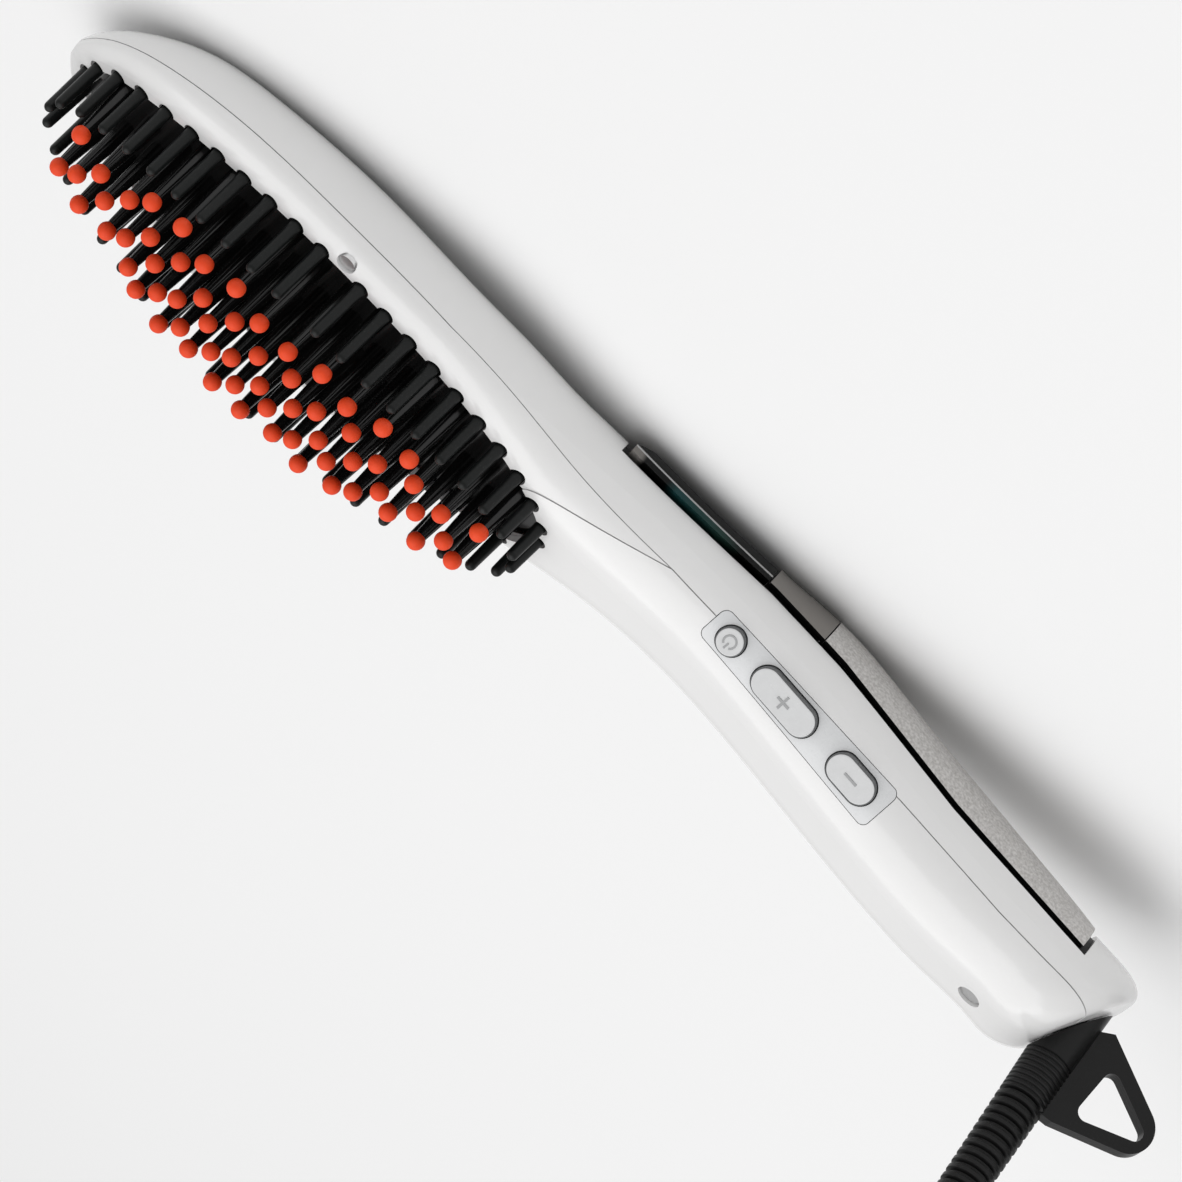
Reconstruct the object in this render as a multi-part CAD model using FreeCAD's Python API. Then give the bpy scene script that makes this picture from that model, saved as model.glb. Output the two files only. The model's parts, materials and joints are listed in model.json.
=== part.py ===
import FreeCAD, Part
import math
import os

# Hair straightening brush, millimetres. The pieces are drawn lying along +X, tail to tip, bristles up (+Z),
# and are then turned together so that the brush lies on its back on the plane Z = 0.

Vector = FreeCAD.Vector

# Whole body
body_length = 278.0
head_half_width = 31.5
seam_height = 10.2
front_depth = 14.5
back_depth = 14.5
wall = 2.2
seam_gap = 0.25
clearance = 0.3
running_gap = 0.4
overrun = 60.0

# Body stations, tail to tip. Shares of: body_length, head_half_width, seam_height, front_depth, back_depth,
# own half width (flat of the front), and the lean of the station's plane.
body_shares = (
    (0.000, 0.35, 0.61, 0.590, 0.590, 0.30, 0.50),
    (0.004, 0.45, 0.61, 0.770, 0.770, 0.30, 0.50),
    (0.016, 0.52, 0.60, 0.890, 0.880, 0.28, 0.50),
    (0.043, 0.54, 0.56, 0.925, 0.920, 0.25, 0.42),
    (0.094, 0.54, 0.51, 0.965, 0.950, 0.25, 0.20),
    (0.147, 0.54, 0.44, 1.000, 0.970, 0.25, 0.00),
    (0.259, 0.54, 0.18, 0.966, 0.950, 0.25, 0.00),
    (0.388, 0.54, 0.06, 0.834, 0.850, 0.25, 0.00),
    (0.460, 0.56, 0.13, 0.855, 0.860, 0.28, 0.00),
    (0.529, 0.65, 0.39, 0.800, 0.980, 0.45, 0.00),
    (0.568, 0.76, 0.61, 0.645, 0.986, 0.60, 0.00),
    (0.615, 0.89, 0.84, 0.475, 1.000, 0.74, 0.00),
    (0.664, 0.97, 0.97, 0.390, 0.966, 0.81, 0.00),
    (0.763, 1.00, 1.00, 0.372, 1.000, 0.82, 0.00),
    (0.863, 0.95, 1.00, 0.345, 0.914, 0.81, 0.00),
    (0.928, 0.78, 1.00, 0.290, 0.820, 0.76, 0.00),
    (0.964, 0.59, 1.00, 0.220, 0.600, 0.68, 0.00),
    (0.989, 0.33, 1.00, 0.140, 0.370, 0.50, 0.00),
    (1.000, 0.10, 1.00, 0.060, 0.140, 0.40, 0.00),
)
cavity_end_share = (0.984, 0.30, 1.00, 0.210, 0.400, 0.50, 0.00)
cavity_rows = 17
lean_pivot_share = 0.8

# Parting line of the front and back shells in side view: shares of body_length and seam_height
seam_shares = ((-0.1, 0.98), (0.10, 0.88), (0.205, 0.69), (0.435, 0.62), (0.665, 0.98), (1.1, 1.00))
neck_split_row = 3
neck_split_slope_share = 0.29

# Bristle field
field_middle_share = 0.749
field_half_length = 64.5
field_half_width = 25.5
ring_outer = 1.6
ring_inner = 3.5
ring_thickness = 1.8
ring_top_share = 1.10
notch_radius = 2.0
bristle_radius = 1.45
bristle_tip_radius = 1.2
bristle_tip_height = 30.9
bristle_crown = 6.3
bristle_pitch = 7.0
bristle_screw_gap = 10.7
bristles_per_quarter = 10

# Heated plate and pins
plate_thickness = 2.0
plate_inset = 2.4
pin_rows_each_way = 14
pin_row_pitch = 3.95
pin_column_shares = (-0.72, -0.31, 0.07, 0.41, 0.72)
pin_zigzag = 1.6
pin_field_half_length = 61.0
pin_field_half_width = 22.8
pin_base_radius = 2.1
pin_top_radius = 1.25
cap_radius = 1.95
cap_flat_drop = 1.25
cap_height = 32.6
cap_crown = 7.0
heater_length = 70.0
heater_width = 20.0
heater_thickness = 4.0
sheet_margin = 3.0
sheet_thickness = 0.8
clamp_width = 9.0
clamp_thickness = 1.2
clamp_spacing = 46.0
clamp_post_radius = 2.6
clamp_screw_radius = 1.2
clamp_screw_head_radius = 2.2
clamp_screw_head = 1.6
bore_clearance = 0.1
fuse_radius = 2.0
fuse_length = 11.0
sensor_length = 5.0
sensor_width = 3.2
sensor_height = 2.0
head_screw_offset = 2.7
head_screw_radius = 1.0
head_screw_head_radius = 1.9
head_screw_head = 0.9
head_screw_recess = 1.6
head_screw_reach = 8.0
head_boss_radius = 2.6

# Back covers: shares of body_length, head_half_width, seam_height, cover_depth and their own half width
cover_depth = 17.5
cover_wall = 2.0
cover_gap = 1.4
panel_shares = (
    (0.030, 0.540, 0.570, 0.760, 0.24),
    (0.094, 0.540, 0.510, 0.868, 0.24),
    (0.147, 0.540, 0.440, 0.920, 0.24),
    (0.205, 0.540, 0.300, 0.932, 0.24),
    (0.259, 0.540, 0.180, 0.972, 0.24),
    (0.309, 0.540, 0.104, 1.000, 0.24),
    (0.353, 0.540, 0.070, 0.937, 0.26),
    (0.384, 0.540, 0.060, 0.900, 0.30),
)
lens_shares = (
    (0.380, 0.540, 0.060, 0.800, 0.45),
    (0.450, 0.557, 0.118, 0.720, 0.60),
    (0.490, 0.590, 0.220, 0.745, 0.63),
    (0.524, 0.640, 0.370, 0.800, 0.65),
)
cover_edge_shares = ((0.034, 0.23), (0.173, -0.01), (0.300, -0.49),
                     (0.372, -0.59), (0.450, -0.47), (0.520, -0.35))
panel_end_share = 0.322
trim_end_share = 0.379
cover_joint_gap = 0.3
lens_top_share = 0.80
lens_joint_slope_share = 0.052
lens_rim_thickness = 0.5
lens_rim_width = 2.2
lens_chamfer_length = 4.0
lens_chamfer_height = 3.0
tray_floor = 1.5
gasket_inset = 0.9
gasket_wall = 1.6
lcd_length = 26.0
lcd_width = 18.0
lcd_thickness = 1.2

# Button panel on the side of the handle
bezel_middle_share = 0.299
bezel_side_share = 0.459
bezel_height_share = 0.873
bezel_slope_share = 0.0715
bezel_tilt = 40.0
bezel_length = 50.2
bezel_tip_width = 7.6
bezel_tail_width = 9.8
bezel_corner = 1.6
bezel_gap = 0.15
button_width = 6.7
power_diameter = 6.2
plus_length = 16.7
minus_length = 11.9
power_place = 19.6
plus_place = 3.7
minus_place = -16.4
button_gap = 0.25
button_top = 1.35
button_edge = 0.5
button_travel = 0.6
flange_margin = 0.7
flange_thickness = 1.0
flange_top = -3.8
nub_radius = 1.3
nub_bottom = -6.0
switch_side = 5.0
switch_height = 2.2
switch_plunger_radius = 1.5
switch_plunger_gap = 0.1
switch_plunger_height = 0.7
switch_board_thickness = 1.2
switch_board_width = 8.0
bezel_post_radius = 1.1
bezel_post_places = (14.3, -7.55)

# Boards in the handle
board_tail_share = 0.130
board_length = 62.0
board_width = 22.0
board_thickness = 1.6
board_height = -5.0
board_post_radius = 2.5
board_post_inset = 6.0
board_post_span = 40.0
board_post_side = 7.5
board_screw_radius = 1.0
board_screw_head_radius = 2.0
board_screw_head = 1.3
board_screw_reach = 3.0
capacitor_radius = 4.0
capacitor_height = 10.0
triac_length = 10.0
triac_width = 4.5
triac_height = 9.0
mains_block_length = 11.0
mains_block_width = 9.0
mains_block_height = 6.0
lead_radius = 1.0
lead_side = 3.2
lead_route_side = 6.0
lead_straight = 5.0
tail_screw_share = 0.069
tail_screw_radius = 1.3
tail_screw_head_radius = 2.4
tail_screw_head = 1.4
tail_screw_recess = 2.0
tail_screw_reach = 12.0

# Cord swivel at the tail
swivel_root_height_share = 0.80
swivel_neck_radius = 3.6
swivel_flange_radius = 6.4
swivel_flange_thickness = 2.4
swivel_stub_radius = 2.4
swivel_stub_length = 7.0
retainer_thickness = 2.0
swivel_ring_radius = 3.4
contact_ring_width = 1.5
contact_ring_gap = 0.6
wiper_width = 1.6
wiper_thickness = 1.0

# Strain relief with its hang loop
sleeve_lean = -7.5
sleeve_root_radius = 5.6
sleeve_collar_radius = 5.2
sleeve_end_radius = 4.6
collar_length = 8.5
fine_ribs = 9
fine_pitch = 1.15
fine_depth = 0.3
coarse_ribs = 12
coarse_pitch = 2.1
coarse_depth = 0.75
sleeve_end_length = 2.5
rib_shares = ((0.15, 1.00), (0.35, 1.00), (0.55, 0.00), (0.95, 0.00))
loop_height = 19.2
loop_reach = 35.1
loop_thickness = 3.4
loop_corner = 2.0
loop_apex_radius = 5.8
loop_outer_shares = ((-0.100, 0.100), (-0.225, 0.226), (0.598, 1.000), (1.000, 0.202), (1.000, 0.080))
loop_hole_shares = ((0.065, 0.319), (0.540, 0.768), (0.812, 0.278))

# How the brush lies on its back
rest_angle_limit = 12.0
rest_steps = 12

# Mains cord, its coil, tie and plug
cord_diameter = 6.0
cord_rise = 28.0
arch_run = 30.0
arch_turns = 4
arch_aim = 40.0
cord_drop_runs = 2
cord_drop_lean = 5.0
landing_run = 18.0
landing_turns = 3
bend_share = 0.45
coil_quarters = 10
coil_radius = 43.0
coil_pitch = 6.8
coil_dip = 1.0
coil_lift = 1.5
coil_straight = 6.0
tie_thickness = 0.7
tie_width = 8.0
tie_gap = 0.7
lead_run = 16.0
lead_turns = 6
lead_climb_runs = 2
plug_rest_gap = 0.3
plug_width = 35.0
plug_height = 13.7
plug_length = 24.0
plug_grip = 14.0
plug_grip_radius = 4.6
plug_grip_taper = 1.2
plug_pin_radius = 2.0
plug_pin_length = 19.0
plug_pin_spacing = 18.6
plug_corner = 4.0

field_middle = field_middle_share * body_length
lean_pivot = lean_pivot_share * seam_height
ring_top = ring_top_share * seam_height
ring_bottom = ring_top - ring_thickness
plate_top = ring_top + plate_thickness
x_axis = Vector(1, 0, 0)
y_axis = Vector(0, 1, 0)
z_axis = Vector(0, 0, 1)
origin = Vector(0, 0, 0)
half_turn = 180


def quarter(start, corner, end):
    """A quarter ellipse from start to end whose tangents meet at corner."""
    curve = Part.BezierCurve()
    curve.setPoles([start, corner, end])
    curve.setWeight(2, math.sqrt(0.5))
    return curve.toShape()


def section(x, half, middle, front, back, top_flat, bottom_flat, lean):
    """Closed section of the body: two flats joined by four quarter ellipses, in a plane that can lean."""

    def point(y, z):
        return Vector(x + lean * (z - lean_pivot), y, z)

    top = middle + front
    bottom = middle - back
    corners = (
        (point(top_flat, top), point(half, top), point(half, middle)),
        (point(half, middle), point(half, bottom), point(bottom_flat, bottom)),
        (point(-bottom_flat, bottom), point(-half, bottom), point(-half, middle)),
        (point(-half, middle), point(-half, top), point(-top_flat, top)),
    )
    arcs = [quarter(*corner) for corner in corners]
    bottom_line = Part.makeLine(corners[1][2], corners[2][0])
    top_line = Part.makeLine(corners[3][2], corners[0][0])
    return Part.Wire([arcs[0], arcs[1], bottom_line, arcs[2], arcs[3], top_line])


def body_section(row, inset, shift):
    """Section of the white body for one row of shares, drawn in by inset and moved along X by shift."""
    x = row[0] * body_length + shift
    half = row[1] * head_half_width - inset
    middle = row[2] * seam_height
    front = row[3] * front_depth - inset
    back = row[4] * back_depth - inset
    flat = row[5] * half
    return section(x, half, middle, front, back, flat, flat * row[5], row[6])


def body_loft(inset):
    """The body's outer form, or the same form drawn in by inset."""
    if inset == 0:
        return Part.makeLoft([body_section(row, 0, 0) for row in body_shares], True, False)
    rows = list(body_shares[:cavity_rows]) + [cavity_end_share]
    wires = [body_section(rows[0], inset, inset)]
    wires += [body_section(row, inset, inset * (1 - row[0])) for row in rows[1:]]
    return Part.makeLoft(wires, True, False)


def cover_loft(rows, inset):
    """Form of the back covers over the given rows, drawn in by inset."""
    wires = []
    for x_share, half_share, middle_share, depth_share, flat_share in rows:
        half = half_share * head_half_width - inset
        depth = depth_share * cover_depth - inset
        middle = middle_share * seam_height
        flat = flat_share * half
        wires.append(section(x_share * body_length, half, middle, depth, depth, flat, flat, 0))
    return Part.makeLoft(wires, True, False)


def side_prism(points, half):
    """Prism across Y from a polygon of (x, z) points."""
    loop = [Vector(x, -half, z) for x, z in points]
    face = Part.Face(Part.makePolygon(loop + loop[:1]))
    return face.extrude(Vector(0, 2 * half, 0))


def slab(x_low, x_high, z_low, z_high):
    """Block across the whole width between two lengths and two heights."""
    size = (x_high - x_low, 2 * overrun, z_high - z_low)
    return Part.makeBox(*size, Vector(x_low, -overrun, z_low))


def block(x, y, z, length, width, height):
    """Block centred on x and y that stands on z."""
    return Part.makeBox(length, width, height, Vector(x - length / 2, y - width / 2, z))


def post(radius, x, y, z_low, z_high):
    """Upright round post."""
    return Part.makeCylinder(radius, z_high - z_low, Vector(x, y, z_low), z_axis)


def oval_prism(offset, z_low, z_high):
    """Upright oval prism, the bristle field's ellipse grown by offset."""
    middle = Vector(field_middle, 0, z_low)
    ellipse = Part.Ellipse(middle, field_half_length + offset, field_half_width + offset)
    return Part.Face(Part.Wire(ellipse.toShape())).extrude(Vector(0, 0, z_high - z_low))


def largest(shape):
    """The largest solid of a shape, which drops slivers of a cut."""
    return max(shape.Solids, key=lambda solid: solid.Volume)


def group(solids):
    """One node that holds several separate solids."""
    return Part.makeCompound(solids)


def field_places():
    """Places of the outer bristles: equal steps along the oval, left free at the two rim screws."""
    steps = 4000
    wanted = [bristle_screw_gap / 2 + i * bristle_pitch for i in range(bristles_per_quarter)]
    places = []
    run = 0.0
    last = (0.0, field_half_width)
    for i in range(1, steps + 1):
        angle = math.pi / 2 * i / steps
        here = (field_half_length * math.sin(angle), field_half_width * math.cos(angle))
        run += math.hypot(here[0] - last[0], here[1] - last[1])
        last = here
        if len(places) < len(wanted) and run >= wanted[len(places)]:
            places.append(here)
    whole = [(sx * x, sy * y) for x, y in places for sx in (1, -1) for sy in (1, -1)]
    return whole + [(field_half_length, 0.0), (-field_half_length, 0.0)]


def pin_places():
    """Places of the heated pins: staggered rows of zigzag columns inside an oval."""
    places = []
    for row in range(-pin_rows_each_way, pin_rows_each_way + 1):
        x = row * pin_row_pitch
        sway = pin_zigzag if (abs(row) // 2) % 2 == 0 else -pin_zigzag
        for column in range(abs(row + 1) % 2, len(pin_column_shares), 2):
            y = pin_column_shares[column] * field_half_width + sway
            if math.hypot(x / pin_field_half_length, y / pin_field_half_width) < 1:
                places.append((x, y))
    return places


def crowned(height, crown, x, y):
    """Height over the field that falls off from the middle to the ends."""
    return height - crown * (math.hypot(x / field_half_length, y / field_half_length)) ** 2


def seam_line(lift):
    """Parting line of the shells in side view, raised by lift."""
    return [(x * body_length, z * seam_height + lift) for x, z in seam_shares]


def neck_top():
    """Point far above the body on the inclined split between head frame and handle cover."""
    x, z = seam_line(0)[neck_split_row]
    return (x + (overrun - z) / neck_split_slope_share, overrun)


def lower_region(lift):
    """All space below the parting line."""
    line = seam_line(lift)
    return side_prism(line + [(line[-1][0], -overrun), (line[0][0], -overrun)], overrun)


def handle_region():
    """Space above the parting line on the handle's side of the neck split."""
    line = seam_line(0)[: neck_split_row + 1]
    return side_prism(line + [neck_top(), (line[0][0], overrun)], overrun)


def head_region():
    """Space above the parting line on the head's side of the neck split, less the seam's gap."""
    line = seam_line(0)[neck_split_row:]
    top = neck_top()
    region = side_prism(line + [(top[0] + overrun, line[-1][1]), (top[0] + overrun, overrun), top], overrun)
    region.translate(Vector(seam_gap / neck_split_slope_share, 0, 0))
    return region


def cover_edge(drop):
    """Upper edge line of the back covers in side view, lowered by drop."""
    return [(x * body_length, z * seam_height - drop) for x, z in cover_edge_shares]


def cover_region(drop, margin):
    """Space below the covers' edge line, shortened at both ends by margin."""
    line = cover_edge(drop)
    low = line[0][0] + margin
    high = line[-1][0] - margin
    line[0] = (low, line[0][1])
    line[-1] = (high, line[-1][1])
    return side_prism(line + [(high, -overrun), (low, -overrun)], overrun)


def swivel_frame():
    """Placement at the tail face's middle whose X axis points out along the swivel's axis."""
    lean = body_shares[0][6]
    root_height = swivel_root_height_share * seam_height
    root = Vector(lean * (root_height - lean_pivot), 0, root_height)
    out = Vector(-1, 0, lean)
    return FreeCAD.Placement(root, FreeCAD.Rotation(x_axis, out))


def bezel_frame():
    """Placement of the button panel: X along the panel towards the tip, Z out of it."""
    along = Vector(1, 0, -bezel_slope_share)
    tilt = math.radians(bezel_tilt)
    out = Vector(0, -math.cos(tilt), math.sin(tilt))
    across = out.cross(along)
    place = Vector(bezel_middle_share * body_length, -bezel_side_share * head_half_width,
                   bezel_height_share * seam_height)
    return FreeCAD.Placement(place, FreeCAD.Rotation(along, across, out, "XZY"))


def placed(shape, placement):
    """A copy of a shape moved by a placement."""
    moved = shape.copy()
    moved.Placement = placement.multiply(moved.Placement)
    return moved


def turned(profile):
    """Solid of revolution about X from (x, radius) points, the first and last on the axis."""
    points = [Vector(x, radius, 0) for x, radius in profile]
    face = Part.Face(Part.makePolygon(points + points[:1]))
    return face.revolve(origin, x_axis, 360)


def rod(x_low, x_high, radius):
    """Round bar along X."""
    return Part.makeCylinder(radius, x_high - x_low, Vector(x_low, 0, 0), x_axis)


def pill(length, width, z_low, z_high):
    """Upright prism with round ends, long along X."""
    radius = width / 2
    reach = length / 2 - radius
    tall = z_high - z_low
    ends = [Part.makeCylinder(radius, tall, Vector(side * reach, 0, z_low), z_axis) for side in (1, -1)]
    if reach <= 0:
        return ends[0]
    middle = Part.makeBox(2 * reach, width, tall, Vector(-reach, -radius, z_low))
    return middle.fuse(ends).removeSplitter()


def head_screw_places():
    """The two rim screws, either side of the field's middle."""
    side = field_half_width + head_screw_offset
    return [(field_middle, side), (field_middle, -side)]


def rim_top(x_share_row):
    """Height of the head's front face at a station."""
    return x_share_row[2] * seam_height + x_share_row[3] * front_depth


def opening_cutter():
    """Oval window over the bristles, with a round notch for each outer bristle."""
    notches = [post(notch_radius, field_middle + x, y, ring_top, overrun) for x, y in field_places()]
    return oval_prism(-clearance, ring_top, overrun).fuse(notches)


def head_screw_cutter():
    """Recess and clearance hole of each rim screw."""
    top = rim_top(body_shares[13])
    cuts = []
    for x, y in head_screw_places():
        cuts.append(post(head_screw_head_radius + clearance, x, y, top - head_screw_recess, overrun))
        cuts.append(post(head_screw_radius + bore_clearance, x, y, -overrun, overrun))
    return group(cuts)


def tail_screw_place():
    """Place of the tail screw and the height of the front face there."""
    row = body_shares[4]
    return tail_screw_share * body_length, rim_top(row) - clearance


def tail_screw_cutter():
    """Recess and clearance hole of the tail screw."""
    x, top = tail_screw_place()
    recess = post(tail_screw_head_radius + clearance, x, 0, top - tail_screw_recess, overrun)
    low = top - tail_screw_recess - tail_screw_reach
    return recess.fuse(post(tail_screw_radius + bore_clearance, x, 0, low, top))


def tail_hole_cutter():
    """Hole in the tail wall for the swivel's neck."""
    return placed(rod(-overrun / 2, overrun / 2, swivel_neck_radius + running_gap), swivel_frame())


def bezel_outline(grow, z_low, z_high):
    """Prism of the button panel's tapered outline, grown by grow."""
    half = bezel_length / 2 + grow
    tip = bezel_tip_width / 2 + grow
    tail = bezel_tail_width / 2 + grow
    corners = ((half, -tip), (half, tip), (-half, tail), (-half, -tail))
    loop = [Vector(x, y, z_low) for x, y in corners]
    prism = Part.Face(Part.makePolygon(loop + loop[:1])).extrude(Vector(0, 0, z_high - z_low))
    upright = [edge for edge in prism.Edges if edge.Vertexes[0].Point.z != edge.Vertexes[1].Point.z]
    return prism.makeFillet(bezel_corner + grow, upright)


def make_back_shell(shell, inner):
    """White back half of the body with its screw bosses and the window for the back covers."""
    top = seam_height - seam_gap
    bosses = [post(head_boss_radius, x, y, -overrun, ring_bottom - clearance) for x, y in head_screw_places()]
    bosses = group(bosses).common(inner)
    holes = [post(head_screw_radius, x, y, top - head_screw_reach, top) for x, y in head_screw_places()]
    body = shell.common(lower_region(-seam_gap)).cut(cover_region(0, 0))
    body = body.cut(placed(bezel_outline(bezel_gap, -overrun / 4, overrun / 4), bezel_frame()))
    body = body.cut(tail_hole_cutter())
    return largest(body.fuse(bosses.Solids).cut(holes))


def make_head_frame(shell):
    """White rim round the bristle field."""
    frame = shell.common(head_region())
    return largest(frame.cut([opening_cutter(), head_screw_cutter()]))


def make_handle_cover(shell, inner):
    """White front half of the handle with the tail screw's boss."""
    x, top = tail_screw_place()
    boss = post(tail_screw_head_radius + wall / 2, x, 0, top - tail_screw_recess - tail_screw_reach, top)
    boss = boss.common(inner)
    cover = shell.common(handle_region()).fuse(boss.Solids)
    cuts = [opening_cutter(), tail_screw_cutter(), tail_hole_cutter()]
    cuts.append(placed(bezel_outline(bezel_gap, -overrun / 4, overrun / 4), bezel_frame()))
    return largest(cover.cut(cuts))


def make_bristle_ring(snug):
    """Black carrier ring under the rim that the outer bristles stand on."""
    ring = oval_prism(ring_outer, ring_bottom, ring_top).cut(oval_prism(-ring_inner, ring_bottom, ring_top))
    return largest(ring.common(snug))


def make_outer_bristles():
    """Round-ended black bristles on the ring."""
    solids = []
    for x, y in field_places():
        top = crowned(bristle_tip_height, bristle_crown, x, y)
        round_start = top - bristle_tip_radius
        shaft = Part.makeCone(bristle_radius, bristle_tip_radius, round_start - ring_top,
                              Vector(field_middle + x, y, ring_top), z_axis)
        middle = Vector(field_middle + x, y, round_start)
        tip = Part.makeSphere(bristle_tip_radius, middle, z_axis, 0, 90, 360)
        solids.append(shaft.fuse(tip))
    return group([largest(solid) for solid in solids])


def make_heat_plate():
    """Heated oval plate that rests on the inside of the ring."""
    return oval_prism(-plate_inset, ring_top, plate_top)


def pin_top(x, y):
    """Height of a heated pin's flat end, where its cap sits."""
    return crowned(cap_height, cap_crown, x, y) - cap_flat_drop


def make_heat_pins():
    """Tapered pins on the plate."""
    solids = []
    for x, y in pin_places():
        foot = Vector(field_middle + x, y, plate_top)
        solids.append(Part.makeCone(pin_base_radius, pin_top_radius, pin_top(x, y) - plate_top, foot, z_axis))
    return group(solids)


def make_pin_caps():
    """Ball caps with a flat foot on the pins."""
    low = math.degrees(math.asin(-cap_flat_drop / cap_radius))
    solids = []
    for x, y in pin_places():
        middle = Vector(field_middle + x, y, pin_top(x, y) + cap_flat_drop)
        solids.append(Part.makeSphere(cap_radius, middle, z_axis, low, 90, 360))
    return group(solids)


def make_heater_parts():
    """Heater bar, insulation, clamps with screws, fuse and sensor under the plate."""
    heater_low = ring_top - heater_thickness
    sheet_low = heater_low - sheet_thickness
    clamp_low = sheet_low - clamp_thickness
    heater = block(field_middle, 0, heater_low, heater_length, heater_width, heater_thickness)
    sheet_length = heater_length + sheet_margin
    sheet_width = heater_width + sheet_margin
    sheet = block(field_middle, 0, sheet_low, sheet_length, sheet_width, sheet_thickness)
    post_side = heater_width / 2 + sheet_margin + clamp_post_radius
    clamps = []
    screws = []
    for side in (1, -1):
        x = field_middle + side * clamp_spacing / 2
        bar = block(x, 0, clamp_low, clamp_width, 2 * (post_side + clamp_post_radius), clamp_thickness)
        posts = [post(clamp_post_radius, x, y, sheet_low, ring_top) for y in (post_side, -post_side)]
        bore_radius = clamp_screw_radius + bore_clearance
        bores = [post(bore_radius, x, y, clamp_low, ring_top) for y in (post_side, -post_side)]
        clamps.append(largest(bar.fuse(posts).cut(bores)))
        for y in (post_side, -post_side):
            head = post(clamp_screw_head_radius, x, y, clamp_low - clamp_screw_head, clamp_low)
            screws.append(largest(head.fuse(post(clamp_screw_radius, x, y, clamp_low, ring_top - clearance))))
    fuse_middle = sheet_low - fuse_radius - bore_clearance
    fuse_start = Vector(field_middle - fuse_length / 2, 0, fuse_middle)
    fuse = Part.makeCylinder(fuse_radius, fuse_length, fuse_start, x_axis)
    sensor_x = field_middle - heater_length / 2 - sheet_margin - sensor_length
    sensor = block(sensor_x, 0, ring_top - sensor_height, sensor_length, sensor_width, sensor_height)
    return {
        "heater_element": heater,
        "insulation_sheet": sheet,
        "heater_clamps": group(clamps),
        "clamp_screws": group(screws),
        "thermal_fuse": fuse,
        "temperature_sensor": sensor,
    }


def make_head_screws():
    """Two screws that hold the rim to the back shell."""
    seat = rim_top(body_shares[13]) - head_screw_recess
    foot = seam_height - seam_gap - head_screw_reach + clearance
    solids = []
    for x, y in head_screw_places():
        head = post(head_screw_head_radius, x, y, seat, seat + head_screw_head)
        solids.append(largest(head.fuse(post(head_screw_radius - bore_clearance, x, y, foot, seat))))
    return group(solids)


def make_tail_screw():
    """Screw in the front of the tail."""
    x, top = tail_screw_place()
    seat = top - tail_screw_recess
    head = post(tail_screw_head_radius, x, 0, seat, seat + tail_screw_head)
    return largest(head.fuse(post(tail_screw_radius, x, 0, seat - tail_screw_reach + clearance, seat)))


def joint_middle():
    """Length at which the joint between the display's tray and lens has its stated height."""
    return (trim_end_share * body_length + cover_edge(0)[-1][0]) / 2


def joint_height(x, lift):
    """Height of the sloping joint between the display's tray and lens, raised by lift."""
    return lens_joint_slope_share * (x - joint_middle()) - lens_top_share * seam_height + lift


def joint_space(low_lift, high_lift):
    """Space between two planes beside the display's joint; None stands for no plane."""
    ends = (0, body_length)
    lows = [(x, -overrun if low_lift is None else joint_height(x, low_lift)) for x in ends]
    highs = [(x, overrun if high_lift is None else joint_height(x, high_lift)) for x in ends]
    return side_prism(lows + highs[::-1], overrun)


def cover_ends():
    """Lengths at which the covers start at the tail, meet each other and end at the neck."""
    line = cover_edge(0)
    half_gap = cover_joint_gap / 2
    panel_end = panel_end_share * body_length
    trim_end = trim_end_share * body_length
    return (line[0][0] + cover_gap, panel_end - half_gap, panel_end + half_gap, trim_end - half_gap,
            trim_end + half_gap, line[-1][0] - cover_gap)


def make_covers():
    """Back panel with board posts, display trim, display tray, lens and the lens's bright rim."""
    region = cover_region(cover_gap, cover_gap)
    panel_low, panel_high, trim_low, trim_high, lens_low, lens_high = cover_ends()
    form = cover_loft(panel_shares, 0).common(region)
    hollow = cover_loft(panel_shares, cover_wall)
    hollow = hollow.common(slab(panel_low + cover_wall, overrun + panel_high, -overrun, overrun))
    posts = [post(board_post_radius, x, y, -overrun, board_height) for x, y in board_screw_places()]
    bores = [post(board_screw_radius - bore_clearance, x, y, board_height - board_screw_reach, board_height)
             for x, y in board_screw_places()]
    arch = form.cut(hollow).fuse(group(posts).common(cover_loft(panel_shares, 0)).Solids)
    panel = largest(arch.common(slab(panel_low, panel_high, -overrun, overrun)).cut(bores))
    trim = largest(form.cut(hollow).common(slab(trim_low, trim_high, -overrun, overrun)))

    window = cover_loft(lens_shares, 0).common(region).common(slab(lens_low, lens_high, -overrun, overrun))
    last = lens_shares[-1]
    low = last[2] * seam_height - last[3] * cover_depth
    chamfer = side_prism([(lens_high - lens_chamfer_length, low), (lens_high, low + lens_chamfer_height),
                          (lens_high + overrun, low + lens_chamfer_height), (lens_high + overrun, -overrun),
                          (lens_high - lens_chamfer_length, -overrun)], overrun)
    window = window.cut(chamfer)
    room = cover_loft(lens_shares, cover_wall)
    room = room.common(slab(lens_low + cover_wall, lens_high - lens_chamfer_length, -overrun, overrun))
    frame_room = cover_loft(lens_shares, lens_rim_width)
    frame_slab = slab(lens_low + lens_rim_width, lens_high - lens_chamfer_length, -overrun, overrun)
    frame_room = frame_room.common(frame_slab)
    below = joint_space(None, 0)
    between = joint_space(0, lens_rim_thickness)
    above = joint_space(lens_rim_thickness, None)
    over_floor = joint_space(lens_rim_thickness + tray_floor, None)
    return {
        "back_panel": panel,
        "display_trim": trim,
        "display_lens": largest(window.cut(room).common(below)),
        "lens_rim": largest(window.cut(frame_room).common(between)),
        "display_tray": largest(window.common(above).cut(room.common(over_floor))),
    }


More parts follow.
